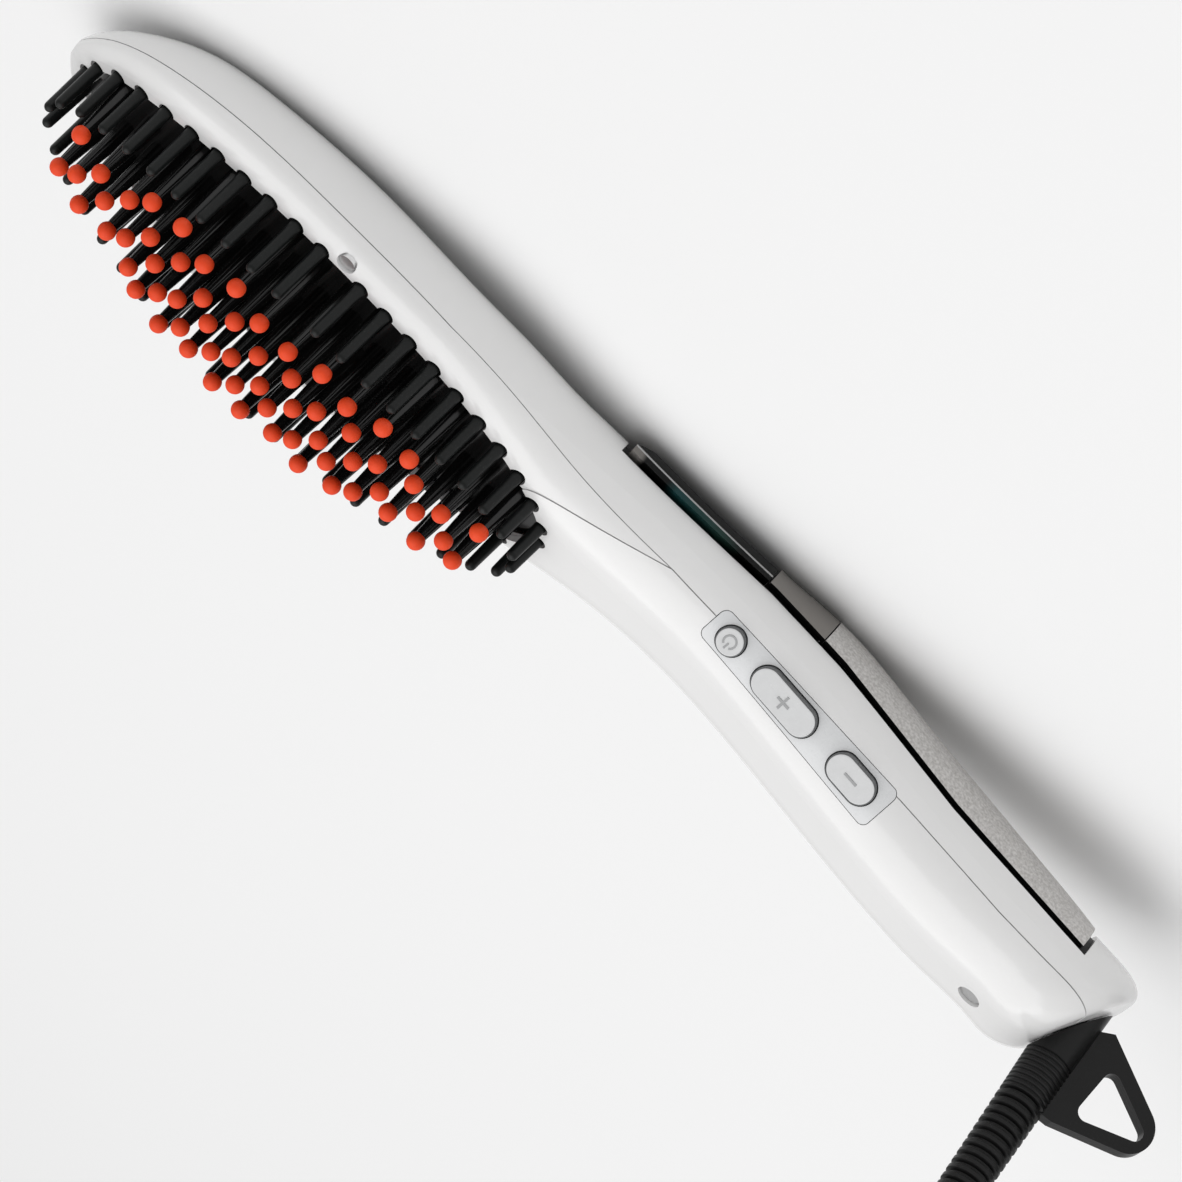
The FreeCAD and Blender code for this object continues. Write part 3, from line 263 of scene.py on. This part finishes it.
@dataclass(frozen=True)
class BandedPlastic(Plastic):
    """Plastic that runs along the brush from its first colour through bands to its deep one."""

    low: float = 0.0
    high: float = 1.0
    bands: tuple[tuple[float, Colour], ...] = ()
    last: float = 1.0
    softness: float = 0.02

    def tone(self, graph: Graph) -> Wire:
        """The base colour from the low to the high place along the brush, softened by the mottle.

        Args:
            graph: the material's nodes.

        Returns:
            The colour.
        """
        share = (graph.along("X") - self.low) * (1.0 / (self.high - self.low))
        soft = share + self.softness * (graph.noise(self.mottle_per_metre) - NOISE_MIDDLE)
        return graph.ramp(soft, [(0.0, self.colour), *self.bands, (self.last, self.deep)])


@dataclass(frozen=True)
class Metal:
    """Bare or plated metal with fine brushing."""

    name: str
    colour: Colour
    roughness: float = 0.25
    shade: Colour = grey(0.35)
    shade_share: float = 0.3
    grain_per_metre: float = 1500.0
    grain_detail: float = 4.0
    grain_depth: float = 0.00001
    grain_roughness: float = 0.12

    def make(self) -> bpy.types.Material:
        """Builds the material.

        Returns:
            The new material.
        """
        graph = Graph(self.name)
        grain = graph.noise(self.grain_per_metre, self.grain_detail)
        return graph.finish(
            Base_Color=graph.mix(grain * self.shade_share, self.colour, self.shade),
            Roughness=self.roughness + self.grain_roughness * (grain - NOISE_MIDDLE),
            Metallic=1.0,
            Normal=graph.bump(grain, self.grain_depth),
        )


class Kind(Enum):
    """Finishes of the brush's pieces."""

    WHITE = Plastic("white_gloss", grey(0.83, 0.003), grey(0.80, 0.004), roughness=0.24, coat=0.3)
    PANEL = Plastic(
        "grey_satin", grey(0.66, 0.016), grey(0.42, 0.016), roughness=0.34, metallic=0.15,
        grain_per_metre=1600.0, grain_depth=0.00005, mottle_per_metre=1700.0, contrast=2.4,
    )
    TRIM = Plastic("mid_grey", grey(0.21, 0.014), grey(0.16, 0.014), roughness=0.24, coat=0.2)
    RECESS = BandedPlastic(
        "display_recess", grey(0.003), grey(0.19, 0.012), roughness=0.3, mottle_per_metre=300.0,
        specular=0.15, low=-0.022, high=0.0162,
        bands=(
            (0.22, grey(0.003)), (0.36, (0.016, 0.042, 0.034, 1.0)), (0.68, (0.010, 0.050, 0.052, 1.0)),
            (0.75, grey(0.003)), (0.91, grey(0.004)),
        ),
        last=0.94,
    )
    LENS = Plastic(
        "smoked_lens", grey(0.004), grey(0.007), roughness=0.12, coat=0.05, mottle_per_metre=300.0,
        specular=0.16,
    )
    BLACK_GLOSS = Plastic("black_gloss", grey(0.008), grey(0.013), roughness=0.14, coat=0.3)
    BLACK_SATIN = Plastic(
        "black_satin", (0.0045, 0.0065, 0.006, 1.0), grey(0.009), roughness=0.36, specular=0.24,
    )
    COAT = Plastic(
        "black_coat", grey(0.003), grey(0.006), roughness=0.2, coat=0.2, grain_depth=0.000006, specular=0.36,
    )
    RUBBER = Plastic(
        "black_rubber", grey(0.003), grey(0.007), roughness=0.36, grain_per_metre=1200.0, grain_depth=0.00005,
        specular=0.25,
    )
    CORAL = Plastic(
        "coral_matte", (0.89, 0.076, 0.015, 1.0), (0.76, 0.052, 0.010, 1.0), roughness=0.55,
        grain_per_metre=1500.0, grain_depth=0.00005, mottle_per_metre=400.0, specular=0.3,
    )
    PALE = Plastic(
        "pale_grey", grey(0.76, -0.008), grey(0.72, -0.008), roughness=0.28, coat=0.2, mottle_per_metre=400.0,
    )
    BUTTON = Plastic(
        "button_grey", grey(0.68, -0.004), grey(0.62, -0.004), roughness=0.26, coat=0.25,
        mottle_per_metre=500.0,
    )
    # Painted shade: the dark of the gap round a button, put on its sides and cap edge.
    GAP_SHADE = Plastic("button_gap_shade", grey(0.13, -0.003), grey(0.10, -0.003), roughness=0.4)
    MARK = Plastic("button_mark", grey(0.40, -0.004), grey(0.34, -0.004), roughness=0.4)
    MICA = Plastic("mica_sheet", (0.45, 0.40, 0.30, 1.0), (0.36, 0.31, 0.22, 1.0), roughness=0.6)
    BOARD = Plastic("board_green", (0.006, 0.075, 0.025, 1.0), (0.004, 0.055, 0.02, 1.0), roughness=0.4)
    LEAD = Plastic("lead_white", grey(0.7), grey(0.64), roughness=0.4)
    ALUMINIUM = Metal("aluminium", grey(0.75), roughness=0.3)
    STEEL = Metal("steel", grey(0.78), roughness=0.34)
    BRASS = Metal("brass", (0.70, 0.47, 0.16, 1.0), roughness=0.25)
    NICKEL = Metal("nickel", grey(0.70, 0.01), roughness=0.18)
    BRIGHT = Metal("bright_trim", grey(0.72), roughness=0.15)


NODE_FINISHES: dict[Kind, tuple[str, ...]] = {
    Kind.WHITE: ("back_shell", "head_frame", "handle_cover", "swivel_retainer"),
    Kind.PANEL: ("back_panel",),
    Kind.TRIM: ("display_trim",),
    Kind.LENS: ("display_lens",),
    Kind.BRIGHT: ("lens_rim",),
    Kind.RECESS: ("display_tray",),
    Kind.BLACK_GLOSS: ("lcd_module", "tact_switches", "capacitor", "triac"),
    Kind.BLACK_SATIN: ("bristle_ring", "outer_bristles", "swivel_head"),
    Kind.COAT: ("heat_plate", "heat_pins"),
    Kind.CORAL: ("pin_caps",),
    Kind.RUBBER: ("panel_gasket", "strain_relief"),
    Kind.PALE: ("button_bezel",),
    Kind.BUTTON: ("power_button", "plus_button", "minus_button"),
    Kind.MICA: ("insulation_sheet", "thermal_fuse", "temperature_sensor"),
    Kind.BOARD: ("switch_board", "control_board", "mains_terminal"),
    Kind.LEAD: ("heater_leads", "cord_leads"),
    Kind.ALUMINIUM: ("heater_element", "heater_clamps"),
    Kind.STEEL: ("clamp_screws", "head_screws", "tail_screw", "board_screws"),
    Kind.BRASS: ("contact_rings", "spring_contacts"),
    Kind.NICKEL: ("plug_pins",),
}


class Paintbox:
    """Makes each finish once and dresses objects with it."""

    def __init__(self) -> None:
        """Starts with no material made."""
        self.made: dict[Kind, bpy.types.Material] = {}

    def material(self, kind: Kind) -> bpy.types.Material:
        """The material of a finish.

        Args:
            kind: the finish.

        Returns:
            Its one material.
        """
        if kind not in self.made:
            self.made[kind] = kind.value.make()
        return self.made[kind]

    def dress(self, piece: bpy.types.Object, kind: Kind) -> None:
        """Gives a whole piece one finish."""
        piece.data.materials.clear()
        piece.data.materials.append(self.material(kind))

    def dress_where(self, piece: bpy.types.Object, kind: Kind, wanted: Callable[[Vector], bool]) -> None:
        """Gives some faces of a dressed piece a second finish.

        Args:
            piece: the dressed mesh.
            kind: the second finish.
            wanted: says of a face's normal whether the face gets it.
        """
        piece.data.materials.append(self.material(kind))
        for face in piece.data.polygons:
            face.material_index = 1 if wanted(face.normal) else 0


def add_piece(name: str, form: bmesh.types.BMesh, paint: Paintbox, kind: Kind, body: str) -> bpy.types.Object:
    """Turns a form in metres into a dressed piece that rides on a body.

    Args:
        name: the piece's name.
        form: the closed mesh, which is freed.
        paint: gives the finish.
        kind: the finish.
        body: the CAD body that the piece moves with.

    Returns:
        The piece's object.
    """
    bmesh.ops.recalc_face_normals(form, faces=form.faces)
    LOG.info("%s: %d open edges", name, sum(not edge.is_manifold for edge in form.edges))
    mesh = bpy.data.meshes.new(name)
    form.to_mesh(mesh)
    form.free()
    piece = bpy.data.objects.new(name, mesh)
    bpy.context.scene.collection.objects.link(piece)
    paint.dress(piece, kind)
    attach(piece, body)
    return piece


def add_box(form: bmesh.types.BMesh, middle: Vector, size: Vector) -> list[bmesh.types.BMEdge]:
    """Adds a box to a form.

    Args:
        form: the mesh that gets it.
        middle: the box's middle.
        size: its three sides.

    Returns:
        The box's edges.
    """
    made = bmesh.ops.create_cube(form, size=1.0, matrix=Matrix.LocRotScale(middle, None, size))
    return list(dict.fromkeys(edge for vertex in made["verts"] for edge in vertex.link_edges))


def grow(form: bmesh.types.BMesh, faces: list[bmesh.types.BMFace], way: Point) -> None:
    """Grows flat faces into a solid.

    Args:
        form: the mesh that holds them.
        faces: the faces, which stay as the solid's start.
        way: how far and where to.
    """
    grown = bmesh.ops.extrude_face_region(form, geom=faces, use_keep_orig=True)
    moved = [part for part in grown["geom"] if isinstance(part, bmesh.types.BMVert)]
    bmesh.ops.translate(form, verts=moved, vec=way)


def soften(form: bmesh.types.BMesh, edges: list[bmesh.types.BMEdge], offset: float, segments: int) -> None:
    """Rounds edges of a form."""
    bmesh.ops.bevel(
        form, geom=edges, offset=offset, offset_type="OFFSET", segments=segments, profile=0.5, affect="EDGES",
        material=-1,
    )


def sharp_edges(form: bmesh.types.BMesh) -> list[bmesh.types.BMEdge]:
    """Edges whose faces meet at more than the sharp angle."""
    return [edge for edge in form.edges if edge.calc_face_angle(0) > SHARP_ANGLE]


def shade_smooth(piece: bpy.types.Object) -> None:
    """Smooths a piece's shading, with sharp edges kept."""
    piece.data.shade_smooth()
    piece.data.set_sharp_from_angle(angle=SHADING_ANGLE)


@dataclass(frozen=True)
class StrapTie:
    """The coil's tie: a flat strap bent round the turns, with its free end on top, in millimetres."""

    low: Point = (-212.28, -0.45, 0.1)
    high: Point = (-187.18, 7.55, 15.7)
    thickness: float = 0.7
    corner: float = 3.6
    corner_steps: int = 6
    tail: tuple[float, float] = (-206.0, -193.0)
    tail_height: float = 1.05
    tail_margin: float = 0.8
    edge: float = 0.2
    edge_steps: int = 2

    def outline(self, inset: float) -> list[tuple[float, float]]:
        """Rounded rectangle along and up.

        Args:
            inset: how far it lies inside the strap's outside.

        Returns:
            Points in order.
        """
        points = []
        radius = self.corner - inset
        left, right = self.low[0] + self.corner, self.high[0] - self.corner
        bottom, top = self.low[2] + self.corner, self.high[2] - self.corner
        for quarter, (x, z) in enumerate(((right, top), (left, top), (left, bottom), (right, bottom))):
            for step in range(self.corner_steps + 1):
                angle = math.pi / 2 * (quarter + step / self.corner_steps)
                points.append((x + radius * math.cos(angle), z + radius * math.sin(angle)))
        return points

    def build(self, paint: Paintbox) -> bpy.types.Object:
        """Makes the tie.

        Args:
            paint: gives the finish.

        Returns:
            The tie's object.
        """
        form = bmesh.new()
        width = self.high[1] - self.low[1]
        outer, inner = (
            [form.verts.new((x, self.low[1], z)) for x, z in self.outline(inset)]
            for inset in (0.0, self.thickness)
        )
        ring = [
            form.faces.new((outer[index - 1], outer[index], inner[index], inner[index - 1]))
            for index in range(len(outer))
        ]
        grow(form, ring, (0, width, 0))
        tail_level = self.high[2] + self.thickness - self.tail_height / 2
        middle = Vector((sum(self.tail) / 2, (self.low[1] + self.high[1]) / 2, tail_level))
        size = Vector((self.tail[1] - self.tail[0], width - self.tail_margin, self.tail_height))
        add_box(form, middle, size)
        bmesh.ops.recalc_face_normals(form, faces=form.faces)
        soften(form, sharp_edges(form), self.edge, self.edge_steps)
        bmesh.ops.scale(form, vec=(MM, MM, MM), verts=form.verts)
        tie = add_piece("strap_tie", form, paint, Kind.BLACK_SATIN, "cord_swivel")
        shade_smooth(tie)
        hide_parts("coil_tie")
        return tie


@dataclass(frozen=True)
class PlugShell:
    """The plug's moulded body, a rounded block with ribbed sides and a ringed grip.

    The sizes are in millimetres, and places along it count from the cord's end.
    """

    place: Point = (-226.88, 20.27, 21.45)
    block: Point = (24.0, 35.0, 13.7)
    corner: float = 4.0
    corner_steps: int = 6
    edge: float = 1.0
    edge_steps: int = 3
    grip: float = 14.0
    grip_radii: tuple[float, float] = (4.6, 5.8)
    grip_edge: float = 0.5
    grip_overlap: float = 1.0
    grip_steps: int = 40
    ring_count: int = 5
    ring_depth: float = 0.7
    ring_margin: float = 1.5
    ring_groove: Outline = ((0.0, 0.0), (0.15, 1.0), (0.45, 1.0), (0.6, 0.0))
    rib_count: int = 5
    rib_size: Point = (1.4, 1.2, 7.0)
    rib_pitch: float = 2.8
    rib_edge: float = 0.4
    merge_distance: float = 0.001

    def grip_profile(self) -> list[tuple[float, float]]:
        """The grip's outline with its ring grooves, from the cord's end into the block.

        Returns:
            Places along the grip and radii.
        """
        low, high = self.grip_radii
        points = [(0.0, 0.0), (0.0, low - self.grip_edge), (self.grip_edge, low)]
        pitch = (self.grip - 2 * self.ring_margin) / self.ring_count
        for index in range(self.ring_count):
            start = self.ring_margin + index * pitch
            for share, sunk in self.ring_groove:
                along = start + share * pitch
                points.append((along, low + (high - low) * along / self.grip - sunk * self.ring_depth))
        end = self.grip + self.grip_overlap
        return [*points, (end, high), (end, 0.0)]

    def build_block(self, form: bmesh.types.BMesh) -> None:
        """Adds the rounded block and its side ribs.

        Args:
            form: the empty mesh that gets them.
        """
        middle = Vector((self.grip + self.block[0] / 2, 0, 0))
        edges = add_box(form, middle, Vector(self.block))
        lengthwise = [edge for edge in edges if abs(edge.verts[0].co.x - edge.verts[1].co.x) > self.edge]
        soften(form, lengthwise, self.corner, self.corner_steps)
        soften(form, sharp_edges(form), self.edge, self.edge_steps)
        for side in (-1, 1):
            for index in range(self.rib_count):
                along = (index - (self.rib_count - 1) / 2) * self.rib_pitch
                spot = middle + Vector((along, side * self.block[1] / 2, 0))
                soften(form, add_box(form, spot, Vector(self.rib_size)), self.rib_edge, self.edge_steps)

    def build(self, paint: Paintbox) -> bpy.types.Object:
        """Makes the plug's body.

        Args:
            paint: gives the finish.

        Returns:
            The body's object.
        """
        form = bmesh.new()
        self.build_block(form)
        verts = [form.verts.new((along, 0, radius)) for along, radius in self.grip_profile()]
        edges = [form.edges.new(pair) for pair in zip(verts, verts[1:])]
        bmesh.ops.spin(
            form, geom=[*verts, *edges], cent=(0, 0, 0), axis=(1, 0, 0), angle=2 * math.pi,
            steps=self.grip_steps, use_merge=True,
        )
        bmesh.ops.remove_doubles(form, verts=form.verts, dist=self.merge_distance)
        turn = Matrix.Rotation(math.pi, 4, "Z")
        place = Matrix.Translation(Vector(self.place) * MM) @ turn @ Matrix.Scale(MM, 4)
        bmesh.ops.transform(form, matrix=place, verts=form.verts)
        plug = add_piece("plug_shell", form, paint, Kind.RUBBER, "cord_swivel")
        shade_smooth(plug)
        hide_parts("plug_body")
        return plug


@dataclass(frozen=True)
class MainsCord:
    """The mains cord: one smooth spline from the sleeve over an arch into the tied coil and on to the plug.

    The diameter and the length are in metres, and the rest is in millimetres.
    """

    diameter: float = 6.0 * MM
    length: float = 1.5315
    route: tuple[Point, ...] = (
        (-127.52, 0.0, 78.56), (-128.81, 0.0, 106.53), (-145.06, 13.64, 127.74), (-168.04, 32.92, 127.74),
        (-184.29, 46.55, 106.53), (-187.68, 46.55, 67.81), (-184.29, 46.55, 29.09), (-193.29, 46.55, 13.5),
        (-208.88, 46.55, 4.5), (-226.88, 46.55, 4.5),
    )
    lead: tuple[Point, ...] = (
        (-226.88, -39.45, 11.3), (-210.88, -39.45, 11.3), (-197.02, -31.45, 16.38), (-189.02, -17.59, 21.45),
        (-189.02, -1.59, 21.45), (-197.02, 12.27, 21.45), (-210.88, 20.27, 21.45), (-226.88, 20.27, 21.45),
    )
    coil_middle: tuple[float, float] = (-232.88, 3.55)
    coil_level: float = 4.5
    coil_radius: float = 43.0
    coil_pitch: float = 6.8
    coil_dip: float = 1.0
    coil_start: float = 0.25
    layer_turns: float = 2.5
    climb_turns: float = 0.5
    points_per_turn: int = 12
    round_steps: int = 4
    length_steps: int = 4
    spline_order: int = 3

    def coil_point(self, turn: float) -> Point:
        """A control point of the coil.

        Args:
            turn: turns wound so far: in along the floor, up a layer, and out again above.

        Returns:
            The point in millimetres, a little outside the turn, which a spline cuts.
        """
        climb = min(max((turn - self.layer_turns) / self.climb_turns, 0.0), 1.0)
        wound_in = min(turn, self.layer_turns)
        wound_out = max(turn - self.layer_turns - self.climb_turns, 0.0)
        radius = self.coil_radius + (wound_out - wound_in) * self.coil_pitch
        radius -= self.coil_dip * math.sin(math.pi * climb)
        radius /= math.cos(math.pi / self.points_per_turn)
        angle = 2 * math.pi * (turn + self.coil_start)
        return (
            self.coil_middle[0] + radius * math.cos(angle),
            self.coil_middle[1] + radius * math.sin(angle),
            self.coil_level + self.coil_pitch * climb,
        )

    def points(self) -> list[Vector]:
        """All control points.

        Returns:
            The points in metres, from the sleeve to the plug.
        """
        turns = 2 * self.layer_turns + self.climb_turns
        count = round(turns * self.points_per_turn)
        coil = [self.coil_point(turns * index / count) for index in range(count + 1)]
        return [Vector(point) * MM for point in (*self.route, *coil, *self.lead)]

    def build(self, paint: Paintbox, ends: list[bpy.types.Object]) -> bpy.types.Object:
        """Args:
            paint: gives the rubber finish.
            ends: the pieces that go with the cord; not used.

        Returns:
            The cord's object.
        """
        curve = bpy.data.curves.new("mains_cord", "CURVE")
        curve.dimensions = "3D"
        curve.bevel_depth = self.diameter / 2
        curve.bevel_resolution = self.round_steps
        curve.resolution_u = self.length_steps
        curve.use_fill_caps = True
        points = self.points()
        spline = curve.splines.new("NURBS")
        spline.points.add(len(points) - 1)
        for spot, point in zip(spline.points, points):
            spot.co = (*point, 1.0)
        spline.order_u = self.spline_order
        spline.use_endpoint_u = True
        cord = bpy.data.objects.new("mains_cord", curve)
        bpy.context.scene.collection.objects.link(cord)
        paint.dress(cord, Kind.RUBBER)
        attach(cord, "cord_swivel")
        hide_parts("power_cord", "cord_coil", "plug_lead")
        return cord


@dataclass(frozen=True)
class ButtonFace:
    """A push button's sides and cap edge, painted dark as shade in the gap round it, and the raised sign on
    its cap.

    The sizes are in millimetres, along and across the button.
    """

    button: str
    outlines: tuple[Outline, ...] = ()
    arc_radius: float = 0.0
    arc_width: float = 0.42
    arc_gap: float = math.radians(70)
    arc_steps: int = 28
    rise: float = 0.12
    sink: float = 0.1
    edge: float = 0.05
    edge_steps: int = 2
    cap_least: float = 0.9
    cap_spot: Point = (0.5, 0.5, 1.0)
    merge_distance: float = 0.005

    def axes(self, joint: dict[str, Any]) -> tuple[Vector, Vector, Vector]:
        """Directions along the button, across it and out of its cap.

        Args:
            joint: the button's joint, whose axis points in.

        Returns:
            Three unit vectors.
        """
        out = -Vector(joint["axis"]).normalized()
        along = Vector((out.z, 0, -out.x)).normalized()
        return along, out.cross(along), out

    def top(self, node: bpy.types.Object, axes: tuple[Vector, Vector, Vector]) -> Vector:
        """Middle of the cap, from the button's own extents.

        Args:
            node: the button.
            axes: its directions.

        Returns:
            The point in metres.
        """
        spot = Vector()
        for axis, share in zip(axes, self.cap_spot):
            reach = [vertex.co.dot(axis) for vertex in node.data.vertices]
            spot += axis * (min(reach) + share * (max(reach) - min(reach)))
        return spot

    def raise_outline(self, form: bmesh.types.BMesh, outline: Outline) -> None:
        """Adds a plate of an outline."""
        low = form.faces.new([form.verts.new((x, y, -self.sink)) for x, y in outline])
        grow(form, [low], (0, 0, self.rise + self.sink))

    def raise_arc(self, form: bmesh.types.BMesh) -> None:
        """Adds the power sign's open ring, whose gap looks across the button.

        Args:
            form: the mesh that gets it.
        """
        start = math.pi / 2 + self.arc_gap / 2
        inner, outer = (self.arc_radius + side * self.arc_width / 2 for side in (-1, 1))
        section = ((inner, -self.sink), (outer, -self.sink), (outer, self.rise), (inner, self.rise))
        corners = [(reach * math.cos(start), reach * math.sin(start), level) for reach, level in section]
        face = form.faces.new([form.verts.new(corner) for corner in corners])
        bmesh.ops.spin(
            form, geom=[face, *face.edges, *face.verts], cent=(0, 0, 0), axis=(0, 0, 1),
            angle=2 * math.pi - self.arc_gap, steps=self.arc_steps,
        )
        bmesh.ops.remove_doubles(form, verts=form.verts, dist=self.merge_distance)

    def build(self, frame: dict[str, Any], paint: Paintbox) -> bpy.types.Object:
        """Makes the sign and paints the button's sides and cap edge dark, as shade in the gap round the cap.

        Args:
            frame: the loaded frame.
            paint: gives the finishes.

        Returns:
            The sign's object.
        """
        node = frame["nodes"][self.button]
        joint = next(joint for joint in frame["joints"] if joint["child"] == self.button)
        axes = self.axes(joint)
        # Every face that doesn't look straight out of the cap gets painted shade: dark, like the gap round
        # the button.
        paint.dress_where(node, Kind.GAP_SHADE, lambda normal: normal.dot(axes[2]) < self.cap_least)
        form = bmesh.new()
        for outline in self.outlines:
            self.raise_outline(form, outline)
        if self.arc_radius:
            self.raise_arc(form)
        bmesh.ops.recalc_face_normals(form, faces=form.faces)
        rims = [edge for edge in sharp_edges(form) if all(vertex.co.z > 0 for vertex in edge.verts)]
        soften(form, rims, self.edge, self.edge_steps)
        turn = Matrix(axes).transposed().to_4x4()
        place = Matrix.Translation(self.top(node, axes)) @ turn @ Matrix.Scale(MM, 4)
        bmesh.ops.transform(form, matrix=place, verts=form.verts)
        sign = add_piece(self.button + "_sign", form, paint, Kind.MARK, self.button)
        return sign


def bar(low: float, high: float, half: float) -> Outline:
    """Outline of a bar across the button."""
    return ((-half, low), (half, low), (half, high), (-half, high))


def cross(reach: float, half: float) -> Outline:
    """Outline of a plus sign.

    Args:
        reach: from its middle to an arm's end.
        half: half an arm's width.

    Returns:
        Points in order.
    """
    turned = [((half, -reach), (half, -half), (reach, -half))]
    for _ in range(3):
        turned.append(tuple((-y, x) for x, y in turned[-1]))
    return tuple(point for part in turned for point in part)


BUTTON_FACES = (
    ButtonFace("power_button", outlines=(bar(0.35, 1.75, 0.21),), arc_radius=1.35),
    ButtonFace("plus_button", outlines=(cross(1.6, 0.28),)),
    ButtonFace("minus_button", outlines=(tuple((y, x) for x, y in bar(-1.7, 1.7, 0.28)),)),
)


@dataclass(frozen=True)
class SoftLight:
    """A square light that points at the frame's origin, in metres and watts."""

    name: str
    place: Point
    size: float
    watts: float

    def build(self) -> None:
        """Makes the light."""
        data = bpy.data.lights.new(self.name, "AREA")
        data.shape = "SQUARE"
        data.size = self.size
        data.energy = self.watts
        light = bpy.data.objects.new(self.name, data)
        light.location = self.place
        light.rotation_euler = (-Vector(self.place)).to_track_quat("-Z", "Y").to_euler()
        bpy.context.scene.collection.objects.link(light)


@dataclass(frozen=True)
class Studio:
    """Pale floor, soft lights and the camera of the photograph."""

    location: Point = (0.06808, -1.36226, 0.64911)
    aim: Point = (0.003779, 0.001162, 0.027069)
    roll: float = math.radians(140.53)
    lens: float = 229.82
    sensor: float = 36.0
    nearest: float = 0.01
    floor_size: float = 6.0
    floor_tone: float = 0.86
    floor_roughness: float = 0.7
    sky_strength: float = 0.48
    lights: tuple[SoftLight, ...] = (
        SoftLight("key", (0.1, -0.15, 1.6), size=2.0, watts=18.5),
        SoftLight("fill", (-0.9, 0.5, 1.3), size=1.6, watts=5.0),
    )

    def build_camera(self) -> None:
        """Makes the camera, turned about its line of sight as in the photograph."""
        data = bpy.data.cameras.new("camera")
        data.lens = self.lens
        data.sensor_width = self.sensor
        data.clip_start = self.nearest
        camera = bpy.data.objects.new("camera", data)
        location = Vector(self.location)
        ahead = (Vector(self.aim) - location).normalized()
        level = ahead.cross(Vector((0, 0, 1))).normalized()
        above = level.cross(ahead)
        right = level * math.cos(self.roll) - above * math.sin(self.roll)
        up = above * math.cos(self.roll) + level * math.sin(self.roll)
        turn = Matrix((right, up, -ahead)).transposed().to_4x4()
        camera.matrix_world = Matrix.Translation(location) @ turn
        bpy.context.scene.collection.objects.link(camera)
        bpy.context.scene.camera = camera

    def build_floor(self) -> None:
        """Makes the pale floor."""
        mesh = bpy.data.meshes.new("floor")
        form = bmesh.new()
        bmesh.ops.create_grid(form, x_segments=1, y_segments=1, size=self.floor_size / 2)
        form.to_mesh(mesh)
        form.free()
        floor = bpy.data.objects.new("floor", mesh)
        bpy.context.scene.collection.objects.link(floor)
        graph = Graph("pale_floor")
        mesh.materials.append(graph.finish(Base_Color=grey(self.floor_tone), Roughness=self.floor_roughness))

    def build(self) -> None:
        """Makes the whole studio."""
        world = bpy.data.worlds.new("studio")
        world.use_nodes = True
        sky = world.node_tree.nodes["Background"]
        sky.inputs["Color"].default_value = grey(1.0)
        sky.inputs["Strength"].default_value = self.sky_strength
        bpy.context.scene.world = world
        bpy.context.scene.view_settings.view_transform = "Standard"
        self.build_camera()
        self.build_floor()
        for light in self.lights:
            light.build()


def dress_nodes(frame: dict[str, Any], paint: Paintbox) -> None:
    """Gives the CAD nodes their finishes, and some faces of the covers and the lens a second one: the covers'
    faces that point up into the gap under the shell get black rubber as painted shade.

    Args:
        frame: the loaded frame.
        paint: gives the finishes.
    """
    for kind, names in NODE_FINISHES.items():
        for name in names:
            paint.dress(frame["nodes"][name], kind)
            LOG.info("dressed %s", name)
    # The covers' faces that point up into the gap under the shell get black rubber: painted shade that widens
    # the dark gap line.
    for name in ("back_panel", "display_trim"):
        paint.dress_where(frame["nodes"][name], Kind.RUBBER, lambda normal: normal.z > PAINTED_SHADE_STEP_LEAST)
    paint.dress_where(frame["nodes"]["display_lens"], Kind.TRIM, lambda normal: normal.x > LENS_END_LEAST)


def main() -> None:
    """Builds the scene piece by piece."""
    logging.basicConfig(level=logging.INFO)
    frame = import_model()
    paint = Paintbox()
    Studio().build()
    dress_nodes(frame, paint)
    pieces = [StrapTie().build(paint), PlugShell().build(paint)]
    pieces.append(MainsCord().build(paint, [*pieces, frame["nodes"]["plug_pins"]]))
    pieces.extend(face.build(frame, paint) for face in BUTTON_FACES)
    for piece in pieces:
        LOG.info("made %s", piece.name)


if __name__ == "__main__":
    main()
